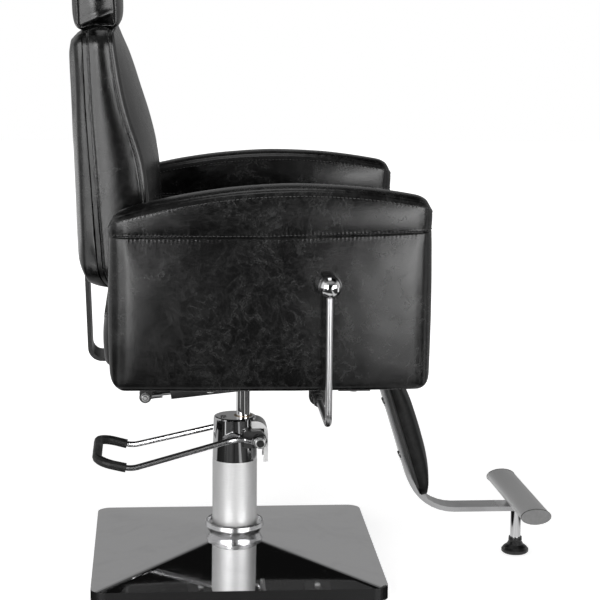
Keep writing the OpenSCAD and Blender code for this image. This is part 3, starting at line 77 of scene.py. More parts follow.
class Nodes:
    """Short calls for the nodes of a tree."""

    def __init__(self, tree, coordinates):
        self.tree = tree
        self.place = self.node("ShaderNodeTexCoord").outputs[coordinates]

    def node(self, kind, settings=None, **inputs):
        """Adds a node. Its inputs are given by name, with _ for a space, or by number as i0, i1."""
        made = self.tree.nodes.new(kind)
        for key, value in (settings or {}).items():
            setattr(made, key, value)
        for key, value in inputs.items():
            number = key[1:]
            socket = made.inputs[int(number) if number.isdigit() else key.replace("_", " ")]
            if isinstance(value, bpy.types.NodeSocket):
                self.tree.links.new(value, socket)
            else:
                socket.default_value = value
        return made

    def noise(self, scale, detail=4.0, rough=0.55, distortion=0.0, stretch=None):
        vector = self.place
        if stretch:
            vector = self.node("ShaderNodeMapping", Vector=self.place, Scale=stretch).outputs[0]
        inputs = {"Scale": scale, "Detail": detail, "Roughness": rough, "Distortion": distortion}
        return self.node("ShaderNodeTexNoise", Vector=vector, **inputs).outputs["Fac"]

    def cells(self, scale):
        return self.node("ShaderNodeTexVoronoi", Vector=self.place, Scale=scale).outputs["Distance"]

    def remap(self, value, low, high, to_low=0.0, to_high=1.0):
        """An eased step from to_low to to_high as the value goes from low to high."""
        limits = {"From Min": low, "From Max": high, "To Min": to_low, "To Max": to_high}
        made = self.node("ShaderNodeMapRange", {"interpolation_type": "SMOOTHSTEP"}, Value=value, **limits)
        return made.outputs["Result"]

    def math(self, operation, a, b=0.0):
        return self.node("ShaderNodeMath", {"operation": operation}, i0=a, i1=b).outputs[0]

    def times(self, *values):
        return functools.reduce(lambda a, b: self.math("MULTIPLY", a, b), values)

    def plus(self, *values):
        return functools.reduce(lambda a, b: self.math("ADD", a, b), values)

    def highest(self, *values):
        return functools.reduce(lambda a, b: self.math("MAXIMUM", a, b), values)

    def mix(self, factor, a, b):
        """A blend of two colours, which are inputs 6 and 7 and output 2 of Blender's Mix node."""
        return self.node("ShaderNodeMix", {"data_type": "RGBA"}, i0=factor, i6=a, i7=b).outputs[2]

    def axes(self):
        return self.node("ShaderNodeSeparateXYZ", i0=self.place).outputs

    def apart(self, value, centre):
        return self.math("ABSOLUTE", self.math("SUBTRACT", value, centre))

    def beam(self, value, centre, half):
        """Full round the centre and gone at half to either side."""
        return self.remap(self.apart(value, centre), half * 0.6, half, 1.0, 0.0)

    def crest(self, value, centre, half, power):
        """A line where the value crosses the centre, fading to either side."""
        return self.math("POWER", self.remap(self.apart(value, centre), 0.0, half, 1.0, 0.0), power)

    def seen_by(self, kind):
        return self.node("ShaderNodeLightPath").outputs["Is %s Ray" % kind]

    def bump(self, height, distance, strength=1.0, normal=None):
        made = self.node("ShaderNodeBump", Height=height, Distance=distance, Strength=strength)
        if normal:
            self.tree.links.new(normal, made.inputs["Normal"])
        return made.outputs[0]


class Shader(Nodes):
    """A material built on one Principled BSDF."""

    def __init__(self, name, **sockets):
        self.material = bpy.data.materials.new(name)
        self.material.use_nodes = True
        super().__init__(self.material.node_tree, "Object")
        self.surface = self.tree.nodes["Principled BSDF"]
        for key, value in sockets.items():
            self.surface.inputs[key.replace("_", " ")].default_value = value

    def link(self, **sockets):
        for key, value in sockets.items():
            self.tree.links.new(value, self.surface.inputs[key.replace("_", " ")])
        return self.material


def grey(value, blue=0.0):
    return (value, value, value + blue, 1.0)


LEATHER_DARK, LEATHER_WORN, WEAR, CLOUD = 0.0006, 0.0165, 0.4, 0.3


def leather(name="black_leather", tone=1.0, low=0.22, high=0.3, gloss=0.45):
    """Black leather with worn veins, finer wisps and clouds, over creases and a fine grain."""
    s = Shader(name, Specular_IOR_Level=gloss)
    area = s.remap(s.remap(s.noise(scale=4.5), 0.34, 0.66), 0.0, 1.0, 0.5, 1.0)
    broad = s.noise(scale=15.0, detail=10.0, rough=0.66, distortion=0.5)
    fine = s.noise(scale=40.0, detail=8.0, rough=0.66, distortion=0.4)
    veins = s.crest(broad, centre=0.51, half=0.06, power=2.2)
    wisps = s.crest(fine, centre=0.5, half=0.07, power=2.0)
    worn = s.plus(s.times(veins, WEAR), s.times(wisps, WEAR))
    cloud = s.times(s.remap(s.noise(scale=8.0, detail=8.0, rough=0.72), 0.4, 0.72), CLOUD)
    mottle = s.plus(s.times(worn, area), cloud)
    grain = s.bump(fine, distance=0.0008, strength=0.15)
    grain = s.bump(s.cells(scale=560.0), distance=0.00022, strength=0.45, normal=grain)
    grain = s.bump(s.noise(scale=1500.0, detail=2.0), distance=0.0001, strength=0.4, normal=grain)
    return s.link(
        Base_Color=s.mix(mottle, grey(LEATHER_DARK * tone), grey(LEATHER_WORN * tone)),
        Roughness=s.remap(mottle, 0.0, 1.0, low, high),
        Normal=grain,
    )


def thread():
    s = Shader("thread", Roughness=0.32)
    twist = s.noise(scale=900.0, detail=2.0)
    return s.link(Base_Color=s.mix(twist, grey(0.012), grey(0.045)), Normal=s.bump(twist, distance=0.0003))


def chrome(name="mirror_chrome", tint=0.86, rough=0.035):
    s = Shader(name, Metallic=1.0)
    smudge = s.remap(s.noise(scale=14.0, detail=5.0, rough=0.6, distortion=0.6), 0.45, 0.75)
    return s.link(
        Base_Color=s.mix(smudge, grey(tint, blue=0.006), grey(tint - 0.05, blue=0.006)),
        Roughness=s.remap(smudge, 0.0, 1.0, rough, rough + 0.05),
        Normal=s.bump(s.noise(scale=5.0, detail=1.0), distance=0.001, strength=0.03),
    )


def brushed(name, tint, rough, stretch, scale, metallic):
    """Metal with fine lines, drawn out along the axes whose stretch is 1."""
    s = Shader(name, Metallic=metallic)
    lines = s.noise(scale, detail=3.0, rough=0.6, stretch=stretch)
    cloud = s.remap(s.noise(scale=12.0), 0.3, 0.7, rough, rough + 0.07)
    return s.link(
        Base_Color=s.mix(lines, grey(tint), grey(tint - 0.09)),
        Roughness=s.plus(cloud, s.times(lines, 0.08)),
        Normal=s.bump(lines, distance=0.0001, strength=0.5),
    )


def painted(name, tint, rough):
    s = Shader(name, Coat_Weight=0.25, Coat_Roughness=0.2)
    dust = s.noise(scale=18.0, detail=5.0, rough=0.6)
    return s.link(
        Base_Color=s.mix(dust, grey(tint), grey(tint * 1.7)),
        Roughness=s.remap(dust, 0.3, 0.7, rough, rough + 0.12),
        Normal=s.bump(s.noise(scale=320.0, detail=2.0), distance=0.00008, strength=0.6),
    )


def rubber():
    s = Shader("black_rubber", Specular_IOR_Level=0.4)
    dust = s.noise(scale=40.0, detail=5.0, rough=0.65)
    return s.link(
        Base_Color=s.mix(dust, grey(0.005), grey(0.014)),
        Roughness=s.remap(dust, 0.3, 0.7, 0.42, 0.62),
        Normal=s.bump(s.noise(scale=700.0, detail=3.0), distance=0.00012, strength=0.6),
    )


def bronze():
    s = Shader("bronze", Metallic=1.0)
    tone = s.noise(scale=60.0)
    return s.link(
        Base_Color=s.mix(tone, (0.2, 0.14, 0.08, 1), (0.3, 0.22, 0.13, 1)),
        Roughness=s.remap(tone, 0.3, 0.7, 0.28, 0.45),
    )


def plywood():
    s = Shader("plywood")
    grain = s.noise(scale=30.0, detail=6.0, rough=0.6, distortion=1.5, stretch=(1.0, 9.0, 9.0))
    return s.link(
        Base_Color=s.mix(grain, (0.36, 0.22, 0.11, 1), (0.56, 0.39, 0.22, 1)),
        Roughness=s.remap(grain, 0.3, 0.7, 0.5, 0.7),
        Normal=s.bump(grain, distance=0.0003, strength=0.4),
    )


def fibre_board():
    s = Shader("fibre_board")
    fibre = s.noise(scale=160.0, detail=6.0, rough=0.7)
    return s.link(
        Base_Color=s.mix(fibre, grey(0.008), grey(0.03)),
        Roughness=s.remap(fibre, 0.3, 0.7, 0.6, 0.8),
        Normal=s.bump(fibre, distance=0.0003, strength=0.5),
    )


LEATHER, THREAD = leather(), thread()
MATT_LEATHER = leather("matt_leather", tone=0.8, low=0.44, high=0.55, gloss=0.18)
MIRROR = chrome()
EVEN, LINES_ALONG_X, LINES_LEVEL = (1.0, 1.0, 1.0), (1.0, 14.0, 14.0), (1.0, 1.0, 16.0)
SLOT_MATERIALS = {
    "rubber": rubber(),
    "black_steel": painted("black_powder_coat", tint=0.011, rough=0.34),
    "chrome": MIRROR,
    "satin_steel": brushed("satin_pump_steel", 0.73, 0.46, LINES_LEVEL, scale=60.0, metallic=0.95),
    "zinc_steel": brushed("zinc_plate", 0.78, 0.22, EVEN, scale=400.0, metallic=0.9),
    "black_screw": painted("black_screws", tint=0.015, rough=0.28),
    "bronze": bronze(),
    "plywood": plywood(),
    "black_board": fibre_board(),
    "upholstery": LEATHER,
}
NODE_MATERIALS = {
    "recline_lever": chrome("satin_chrome", tint=0.5, rough=0.28),
    "footrest_tube": brushed("brushed_tube", 0.82, 0.36, LINES_ALONG_X, scale=220.0, metallic=0.75),
    # Painted shade: the end caps are a darker copy of the tube's brushed metal, to offset the lamps falling
    # full on them
    "footrest_caps": brushed("shaded_brushed_cap", 0.3, 0.3, EVEN, scale=160.0, metallic=0.7),
    "stand_foot": painted("black_plastic", tint=0.003, rough=0.2),
    "pedal_rod": chrome("worn_chrome", tint=0.5, rough=0.24),
    "pump_cap": chrome("dark_chrome", tint=0.5, rough=0.05),
    "leg_bar": chrome("bar_chrome", tint=0.56, rough=0.12),
    "trim_ring": chrome("dull_chrome", tint=0.62, rough=0.26),
    "pedal_shaft": painted("blackened_steel", tint=0.008, rough=0.3),
    "seat_board": painted("stained_plywood", tint=0.02, rough=0.55),
    "calf_screws": MIRROR,
}


def dress_cad_nodes():
    for row in frame["record"]["subparts"]:
        name, node = row["node"], frame["nodes"][row["node"]]
        material = NODE_MATERIALS.get(name) or SLOT_MATERIALS[row["material_slot"]]
        if not node.material_slots:
            node.data.materials.append(material)
        for place in node.material_slots:
            place.material = material


# ---------------------------------------------------------------- lattices
# A cover starts as the skin of a block of cells in three directions, u (or t), v and w, with its seams at
# levels of w. Each cover's place function says where the points of its lattice lie.

END_LINES, TINY = 4, 10**-9


def rounded(d, r, depth=None):
    """How far a side draws in at distance d from an end rounded over r, and the end's share of the normal."""
    q = np.clip(1 - d / r, 0, 1)
    return (r if depth is None else depth) * (1 - np.sqrt(np.clip(1 - q * q, 0, 1))), q


def two_ends(low, high, r_low, r_high, depth=None):
    """For distances from two rounded ends: the smaller, the inset, the share of the normal and the sign."""
    d = np.minimum(low, high)
    inset, q = rounded(d, np.where(low < high, r_low, r_high), depth)
    return d, inset, q, np.where(low < high, -1, 1)


def spread(low, high, r_low, r_high, step):
    """Lines from low to high, close together over the rounded ends."""
    bend = [1 - math.cos(math.pi / 2 * i / END_LINES) for i in range(END_LINES)]
    count = max(1, math.ceil((high - low - r_low - r_high) / step))
    middle = np.linspace(low + r_low, high - r_high, count + 1)
    low_end, high_end = [low + r_low * b for b in bend], [high - r_high * b for b in reversed(bend)]
    return np.concatenate([low_end, middle, high_end])


def runs(w, knots, values):
    """Straight runs between the values at the knots. A value may differ from point to point."""
    out = values[0]
    for a, b, start, stop in zip(knots, knots[1:], values, values[1:]):
        out = out + (stop - start) * np.clip((w - a) / (b - a), 0, 1)
    return out


def bell(value, centre, half):
    return np.exp(-(((value - centre) / half) ** 2))


def leaned(at, angle, x, y, z):
    """A place in an upright frame that stands at a point and leans back, taken to the row frame."""
    c, s = math.cos(angle), math.sin(angle)
    return at[0] + x, at[1] + y * c + z * s, at[2] - y * s + z * c


def lattice(us, vs, ws):
    """The closed skin of a block of cells: lattice places of its vertices, and its faces."""
    sizes, index, faces = (len(us), len(vs), len(ws)), {}, []
    for axis, (a, b) in enumerate(((1, 2), (2, 0), (0, 1))):
        for end in (0, sizes[axis] - 1):
            for p in range(sizes[a] - 1):
                for q in range(sizes[b] - 1):
                    face = []
                    for dp, dq in ((0, 0), (1, 0), (1, 1), (0, 1)):
                        at = [0, 0, 0]
                        at[axis], at[a], at[b] = end, p + dp, q + dq
                        face.append(index.setdefault(tuple(at), len(index)))
                    faces.append(face if end else face[::-1])
    return np.array(list(index)), faces


# ---------------------------------------------------------------- meshes


def coords(mesh, name="co"):
    out = np.zeros(len(mesh.vertices) * 3, np.float32)
    mesh.vertices.foreach_get(name, out)
    return out.reshape(-1, 3).astype(float)


def set_coords(mesh, co):
    mesh.vertices.foreach_set("co", co.astype(np.float32).ravel())
    mesh.update()


def link_mesh(name, verts, faces, material, smooth=False):
    mesh = bpy.data.meshes.new(name)
    mesh.from_pydata(np.asarray(verts).tolist(), [], faces)
    mesh.materials.append(material)
    for p in mesh.polygons:
        p.use_smooth = smooth
    obj = bpy.data.objects.new(name, mesh)
    scene.collection.objects.link(obj)
    return obj


def set_group(obj, name, weights):
    group = obj.vertex_groups.new(name=name)
    for i in np.nonzero(weights > 0)[0]:
        group.add([int(i)], float(weights[i]), "REPLACE")


def get_group(obj, name):
    index, out = obj.vertex_groups[name].index, np.zeros(len(obj.data.vertices))
    for v in obj.data.vertices:
        for g in v.groups:
            if g.group == index:
                out[v.index] = g.weight
    return out


def apply_one(obj, modifier):
    with bpy.context.temp_override(object=obj, active_object=obj, selected_objects=[obj]):
        bpy.ops.object.modifier_apply(modifier=modifier.name)


# ---------------------------------------------------------------- covers

CLOTH_FRAMES, SUBDIVISIONS = 16, 2
SEAM_CORE, LIP_AT, LIP_HALF, LIP = 0.45, 0.42, 0.2, 0.0005
SLACK, SMALL_SLACK = 0.0007, 0.0003


def inflate(obj, pressure, cap):
    """Blows the cover out between its pinned seams with Cloth, moving no point further than cap."""
    rest = coords(obj.data)
    m = obj.modifiers.new("cloth", "CLOTH")
    s = m.settings
    s.quality = 4
    s.mass = 0.3
    s.tension_stiffness = s.compression_stiffness = 12
    s.shear_stiffness = 6
    s.bending_stiffness = 2.0
    s.use_pressure = True
    s.uniform_pressure_force = pressure
    s.effector_weights.gravity = 0
    s.vertex_group_mass = "pin"
    s.pin_stiffness = 1.0
    m.point_cache.frame_start, m.point_cache.frame_end = 1, CLOTH_FRAMES
    for f in range(1, CLOTH_FRAMES + 1):
        scene.frame_set(f)
    blown = obj.evaluated_get(bpy.context.evaluated_depsgraph_get()).to_mesh()
    moved = coords(blown) - rest
    obj.modifiers.remove(m)
    length = np.linalg.norm(moved, axis=1)
    keep = np.where(length > TINY, cap * np.tanh(length / cap) / np.maximum(length, TINY), 0)
    set_coords(obj.data, rest + moved * keep[:, None])
    scene.frame_set(1)


def wave(co, scale, offset):
    """Smooth noise at each point, from -1 to 1. The offset picks another stretch of it."""
    return np.array([noise.noise(Vector(p) * scale + Vector((offset, offset * 0.7, -offset))) for p in co])


def build_pad(
    name, us, vs, ws, place, seams, held_to=-math.inf, pressure=4.0, cap=0.006,
    groove=0.0022, pucker=0.0006, sculpt=None,
):
    """A padded cover: lattice skin, cloth swell, smooth rounding, then seams drawn in, with puckers beside.

    seams takes each point's level, whether it is on the cover's outline and whether it is on an end. Points
    up to the level held_to are held, like the seams, while the cover swells.
    """
    ijk, faces = lattice(us, vs, ws)
    u, v, w = us[ijk[:, 0]], vs[ijk[:, 1]], ws[ijk[:, 2]]
    side, end = ((at == 0) | (at == at.max()) for at in (ijk[:, 0], ijk[:, 1]))
    seam = seams(w, side | end, end).astype(float)
    obj = link_mesh(name, np.stack(place(u, v, w), axis=1), faces, LEATHER)
    set_group(obj, "seam", seam)
    set_group(obj, "pin", np.maximum(seam, w <= held_to))
    bm = bmesh.new()
    bm.from_mesh(obj.data)
    bmesh.ops.recalc_face_normals(bm, faces=bm.faces)
    bm.to_mesh(obj.data)
    bm.free()
    inflate(obj, pressure, cap)
    m = obj.modifiers.new("round", "SUBSURF")
    m.levels = m.render_levels = SUBDIVISIONS
    apply_one(obj, m)
    co, normal, near = coords(obj.data), coords(obj.data, "normal"), get_group(obj, "seam")
    deep = np.clip((near - SEAM_CORE) / (1 - SEAM_CORE), 0, 1) ** 1.5
    folds = wave(co, 95.0, 3.1) + 0.6 * wave(co, 180.0, 7.7)
    soft = wave(co, 9.0, 1.3) * SLACK + wave(co, 24.0, 5.9) * SMALL_SLACK
    push = bell(near, LIP_AT, LIP_HALF) * (LIP + pucker * folds) - groove * deep + soft * (1 - near)
    if sculpt is not None:
        push = push + sculpt(co)
    set_coords(obj.data, co + normal * push[:, None])
    for p in obj.data.polygons:
        p.use_smooth = True
    return obj


def tree_of(obj):
    mesh = obj.data
    return BVHTree.FromPolygons([v.co for v in mesh.vertices], [tuple(p.vertices) for p in mesh.polygons])


def loop_at(place, steps, lines, level):
    """Once round the outline of a cover at one level of its lattice."""
    t = np.linspace(-1, 1, steps)
    u = np.concatenate([np.full(len(lines), -1.0), t[1:-1], np.full(len(lines), 1.0), -t[1:-1]])
    v = np.concatenate([lines[::-1], np.full(steps - 2, lines[0]), lines, np.full(steps - 2, lines[-1])])
    return np.stack(place(u, v, np.full(len(v), float(level))), axis=1)


def resample(path, pitch):
    """Even steps round a closed path."""
    points = np.vstack([path, path[:1]])
    steps = np.linalg.norm(np.diff(points, axis=0), axis=1)
    along = np.concatenate([[0], np.cumsum(steps)])
    count = max(2, int(round(along[-1] / pitch)))
    at = np.linspace(0, along[-1], count + 1)
    return np.stack([np.interp(at, along, points[:, k]) for k in range(3)], axis=1)[:-1]


def snapped(tree, path, lift):
    """The path moved to the nearest skin, with the skin's normals."""
    spots, normals = [], []
    for p in path:
        at, normal, _, _ = tree.find_nearest(Vector(p))
        spots.append(np.array(at) + np.array(normal) * lift)
        normals.append(np.array(normal))
    return np.array(spots), np.array(normals)


def tangents(path, closed):
    ahead = np.roll(path, -1, axis=0) - np.roll(path, 1, axis=0)
    if not closed:
        ahead[0], ahead[-1] = path[1] - path[0], path[-1] - path[-2]
    return ahead / np.maximum(np.linalg.norm(ahead, axis=1), TINY)[:, None]


def tube_mesh(path, normals, radius, sides, closed, verts, faces, taper=None):
    """Adds a tube round a path to verts and faces."""
    start, n = len(verts), len(path)
    along = tangents(path, closed)
    for i in range(n):
        side = np.cross(along[i], normals[i])
        side /= max(np.linalg.norm(side), TINY)
        up = np.cross(side, along[i])
        r = radius * (taper[i] if taper is not None else 1.0)
        for k in range(sides):
            a = 2 * math.pi * k / sides
            verts.append(path[i] + side * math.cos(a) * r + up * math.sin(a) * r)
    for i in range(n if closed else n - 1):
        one, two = start + i * sides, start + (i + 1) % n * sides
        for k in range(sides):
            q = (k + 1) % sides
            faces.append([one + k, two + k, two + q, one + q])
    if not closed:
        faces.append([start + k for k in range(sides)])
        faces.append([start + (n - 1) * sides + k for k in reversed(range(sides))])


PIPE_STEP, PIPE_SIDES, STITCH_SIDES = 0.006, 8, 5
STITCH_AT, STITCH_LIFT, STITCH_TAPER = (-0.5, -0.3, 0.3, 0.5), (-1.1, 0.1, 0.1, -1.1), (0.5, 1.0, 1.0, 0.5)


def piping(name, tree, loops, radius, lift):
    """Rolled leather edging laid into closed seams."""
    verts, faces = [], []
    for path in loops:
        spots, normals = snapped(tree, resample(path, PIPE_STEP), lift)
        tube_mesh(spots, normals, radius, PIPE_SIDES, True, verts, faces)
    return link_mesh(name, verts, faces, LEATHER, smooth=True)


def stitching(name, tree, loops, pitch=0.007, length=0.0052, radius=0.00075):
    """Closed rows of single stitches, each dipping into the leather at its ends."""
    verts, faces = [], []
    for path in loops:
        spots, normals = snapped(tree, resample(path, pitch), 0.0)
        for at, normal, ahead in zip(spots, normals, tangents(spots, True)):
            steps = zip(STITCH_AT, STITCH_LIFT)
            run = np.array([at + ahead * length * s + normal * radius * lift for s, lift in steps])
            tube_mesh(run, [normal] * len(run), radius, STITCH_SIDES, False, verts, faces, STITCH_TAPER)
    return link_mesh(name, verts, faces, THREAD, smooth=True)


def finish_piece(obj, body, nodes=()):
    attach(obj, body)
    if nodes:
        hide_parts(*nodes)


def foot_seam(w, rim, end):
    return rim & (w == 0)


def edge_seams(w, rim, end):
    """Seams along the outline where the level is 1 or, in a lattice from -1 to 1, at both its sides."""
    return rim & (np.abs(w) == 1)


# ---------------------------------------------------------------- armrests
# Levels: the foot is 0, the sewn seam 1 and the top edge 2. Between two knots the levels rise evenly.

ARM_X, ARM_HALF, ARM_SWELL = 0.319, 0.0338, 0.0115
ARM_FRONT, ARM_REAR, ARM_LOW = -0.3505, 0.2465, 0.436
ARM_CREST_Y, ARM_CREST_Z, ARM_ARCH = -0.105, 0.8215, 1.16
ARM_CROWN, ARM_CROWN_R, ARM_FRONT_R, ARM_REAR_R, ARM_DEPTH = 0.009, 0.022, 0.024, 0.028, 0.024
ARM_FOOT_R, ARM_EDGE_R, ARM_TOP_R = (0.013, 0.018), 0.012, 0.008
ARM_SEAM_Z, ARM_SEAM_RISE, ARM_RISE_Y, ARM_RISE_RUN = 0.727, 0.009, -0.04, 0.3
ARM_LOWER_FULL, ARM_UPPER_FULL, ARM_TUCK, ARM_TUCK_FROM = 0.0026, 0.0020, 0.0036, 1.55
ARM_BELOW, ARM_ABOVE, ARM_WELT, ARM_PITCH = 0.0045, 0.004, 0.0105, 0.0074
ARM_TOP_ROW, ARM_SEAM_ROW, ARM_GATHER, ARM_END_SEAM = 0.0088, 0.0028, 0.00025, 0.62
# Where stitches pull: the height past the seam or the top edge, half the height that it takes, and its share.
ARM_SEAM_PULLS = ((0.0042, 0.0024, 1.0), (-0.005, 0.0028, 0.8))
ARM_TOP_PULLS = ((-0.0085, 0.003, 0.7),)
ARM_ACROSS, ARM_LOOP_ACROSS = 8, 12
ARM_LINES = spread(ARM_FRONT, ARM_REAR, ARM_FRONT_R, ARM_REAR_R, ARM_PITCH)
ARM_KNOTS = (0.0, 0.9, 1.0, 1.1, 1.6, 2.0)
ARM_LEVELS = np.array(
    [0, 0.014, 0.035, 0.065, *np.linspace(0.105, 0.9, 10), 1, 1.1, 1.22, 1.35, 1.48, 1.6, 1.7, 1.8, 1.9, 2]
)


def arm_top(y):
    d = np.minimum(y - ARM_FRONT, ARM_REAR - y)
    arch = ARM_CREST_Z - ARM_ARCH + np.sqrt(ARM_ARCH**2 - (y - ARM_CREST_Y) ** 2)
    return arch - ARM_CROWN - rounded(d, ARM_TOP_R)[0]


def arm_middle(y):
    return ARM_SEAM_Z + ARM_SEAM_RISE * np.clip((ARM_RISE_Y - y) / ARM_RISE_RUN, 0, 1)


def arm_place(side):
    def place(t, y, w):
        d, inset, q, ends = two_ends(y - ARM_FRONT, ARM_REAR - y, ARM_FRONT_R, ARM_REAR_R, ARM_DEPTH)
        low = ARM_LOW + rounded(d, np.where(ends < 0, *ARM_FOOT_R))[0]
        top, mid = arm_top(y), arm_middle(y)
        z = runs(w, ARM_KNOTS, (low, mid - ARM_BELOW, mid, mid + ARM_ABOVE, top - ARM_WELT, top))
        length = (y - ARM_FRONT) / (ARM_REAR - ARM_FRONT) * 2 - 1
        swell = ARM_SWELL * (1 - np.abs(length) ** 2.7)
        lower = ARM_LOWER_FULL * np.sin(np.pi * np.clip(w, 0, 1)) ** 0.5
        upper = ARM_UPPER_FULL * np.sin(np.pi * np.clip(w - 1, 0, 1)) ** 0.7
        tuck = ARM_TUCK * np.clip((w - ARM_TUCK_FROM) / (2 - ARM_TUCK_FROM), 0, 1) ** 2
        full = lower + upper - tuck - rounded(z - low, ARM_EDGE_R)[0]
        crown = ARM_CROWN * (1 - np.abs(t) ** 2.2) * np.clip(d / ARM_CROWN_R, 0, 1) ** 0.5
        x = t * (ARM_HALF - inset + (swell + full) * np.sqrt(1 - q * q))
        return side * ARM_X + x, y + ends * q * full, z + np.where(w >= 2, crown, 0)

    return place


def arm_seams(w, rim, end):
    return np.maximum((w == 1) * np.where(end, ARM_END_SEAM, 1.0), (w == 2) & rim)


def arm_gathers(co):
    """Small gathers that the stitches pull beside both seams."""
    y = co[:, 1]
    past_seam, past_top = co[:, 2] - arm_middle(y), co[:, 2] - arm_top(y)
    pull = sum(share * bell(past_seam, at, half) for at, half, share in ARM_SEAM_PULLS)
    pull = pull + sum(share * bell(past_top, at, half) for at, half, share in ARM_TOP_PULLS)
    phase = 2 * np.pi * (y - ARM_FRONT) / ARM_PITCH + 0.5 * wave(co, 14.0, 2.2)
    return ARM_GATHER * pull * np.cos(phase) * (1 + 0.5 * wave(co, 60.0, 4.4))


def make_arm(name, side):
    place = arm_place(side)
    arm = build_pad(
        name + "_cover", np.linspace(-1, 1, ARM_ACROSS), ARM_LINES, ARM_LEVELS, place, arm_seams,
        held_to=0.035, pressure=2.0, cap=0.0022, groove=0.0027, pucker=0.0004, sculpt=arm_gathers,
    )
    seam, above, welt, top = ARM_KNOTS[2:]
    top_row = top - (top - welt) * ARM_TOP_ROW / ARM_WELT
    seam_row = seam + (above - seam) * ARM_SEAM_ROW / ARM_ABOVE
    loops = [loop_at(place, ARM_LOOP_ACROSS, ARM_LINES, level) for level in (top_row, seam_row)]
    rows = stitching(name + "_stitches", tree_of(arm), loops, ARM_PITCH, length=0.0056, radius=0.0009)
    finish_piece(arm, "seat", nodes=[name])
    finish_piece(rows, "seat")


# ---------------------------------------------------------------- seat cushion

SEAT_HALF, SEAT_FRONT, SEAT_REAR, SEAT_LOW, SEAT_SEAM = 0.2665, -0.331, 0.2575, 0.461, 0.574
SEAT_FRONT_R, SEAT_REAR_R, SEAT_EDGE_R = 0.05, 0.034, 0.01
SEAT_FRONT_DIP, SEAT_REAR_DIP, SEAT_FULL, SEAT_DOME, SEAT_ROW = 0.6, 0.3, 0.004, 0.027, 0.009
SEAT_ACROSS = 34
SEAT_LINES = spread(SEAT_FRONT, SEAT_REAR, SEAT_FRONT_R, SEAT_REAR_R, step=0.0165)
SEAT_LEVELS = np.array([0, 0.05, 0.13, 0.25, 0.4, 0.55, 0.7, 0.84, 0.93, 1.0])


def seat_place(t, y, w):
    front, rear = y - SEAT_FRONT, SEAT_REAR - y
    _, inset, q, ends = two_ends(front, rear, SEAT_FRONT_R, SEAT_REAR_R)
    dip = SEAT_FRONT_DIP * rounded(front, SEAT_FRONT_R)[0] + SEAT_REAR_DIP * rounded(rear, SEAT_REAR_R)[0]
    z = SEAT_LOW + (SEAT_SEAM - dip - SEAT_LOW) * w
    push = SEAT_FULL * np.sin(np.pi * w) ** 0.7 - rounded(z - SEAT_LOW, SEAT_EDGE_R)[0]
    middle = front / (SEAT_REAR - SEAT_FRONT) * 2 - 1
    dome = (1 - np.abs(t) ** 3.2) * np.clip(1 - np.abs(middle) ** 4.5, 0, 1) ** 0.7
    x = t * (SEAT_HALF - inset + push * np.sqrt(1 - q * q))
    return x, y + ends * q * push, z + np.where(w >= 1, SEAT_DOME * dome, 0)


def make_seat():
    seat = build_pad(
        "seat_cushion_cover", np.linspace(-1, 1, SEAT_ACROSS), SEAT_LINES, SEAT_LEVELS, seat_place,
        edge_seams, held_to=0.05, pressure=4.0, cap=0.006,
    )
    tree = tree_of(seat)
    row_level = 1 - SEAT_ROW / (SEAT_SEAM - SEAT_LOW)
    seam, row = (loop_at(seat_place, SEAT_ACROSS, SEAT_LINES, level) for level in (1, row_level))
    finish_piece(seat, "seat", nodes=["seat_cushion"])
    finish_piece(piping("seat_piping", tree, [seam], radius=0.0026, lift=0.0006), "seat")
    finish_piece(stitching("seat_stitches", tree, [row]), "seat")


# ---------------------------------------------------------------- back
# Each table pairs heights up the back with a seam's place along Y there, or with the crown's fullness.

BACK_AT, BACK_LEAN, BACK_H = (0.0, 0.294, 0.606), math.radians(1.9), 0.486
BACK_HALF, BACK_LOW_R, BACK_TOP_R, BACK_FOOT_R, BACK_FOOT_IN = 0.2465, 0.042, 0.022, 0.05, 0.034
REAR_BAND, FRONT_BAND, BACK_FULL, BACK_CROWN_R = 0.0115, 0.0095, 0.0085, 0.05
BACK_ACROSS = 35
BACK_LINES = spread(0.0, BACK_H, BACK_LOW_R, BACK_TOP_R, step=0.015)
BACK_KNOTS = (0.0, 0.1, 0.9, 1.0)
BACK_LEVELS = np.array([0, 0.015, 0.05, 0.1, 0.16, 0.26, 0.38, 0.5, 0.62, 0.74, 0.84, 0.9, 0.95, 1.0])
REAR_SEAM = ([0, 0.058, 0.148, 0.345, 0.486], [-0.026, -0.0245, -0.021, -0.0146, -0.014])
FRONT_SEAM = (
    [0, 0.05, 0.1, 0.171, 0.237, 0.264, 0.322, 0.361, 0.42, 0.486],
    [-0.103, -0.119, -0.1245, -0.1246, -0.119, -0.1133, -0.095, -0.0865, -0.078, -0.072],
)
FRONT_CROWN = (
    [0, 0.05, 0.12, 0.208, 0.28, 0.32, 0.4, 0.473, 0.486],
    [0.012, 0.019, 0.024, 0.024, 0.03, 0.031, 0.024, 0.014, 0.012],
)
EASE = ((-0.025, 0.25), (0, 0.5), (0.025, 0.25))


def eased(z, table):
    """A table's value, eased over a few centimetres."""
    return sum(np.interp(z + offset, *table) * share for offset, share in EASE)


def back_edges(z):
    d, inset, q, ends = two_ends(z, BACK_H - z, BACK_LOW_R, BACK_TOP_R)
    return d, inset, q, eased(z, REAR_SEAM) - rounded(z, BACK_FOOT_R, BACK_FOOT_IN)[0], ends


def back_place(t, z, w):
    d, inset, q, rear, ends = back_edges(z)
    front = eased(z, FRONT_SEAM)
    y = runs(w, BACK_KNOTS, (rear, rear - REAR_BAND, front + FRONT_BAND, front))
    full = BACK_FULL * (4 * w * (1 - w)) ** 0.85
    crown = eased(z, FRONT_CROWN) * (1 - np.abs(t) ** 2.6) * np.clip(d / BACK_CROWN_R, 0, 1) ** 0.5
    x = t * (BACK_HALF - inset + full * np.sqrt(1 - q * q))
    return leaned(BACK_AT, BACK_LEAN, x, y - np.where(w >= 1, crown, 0), z + ends * q * full)


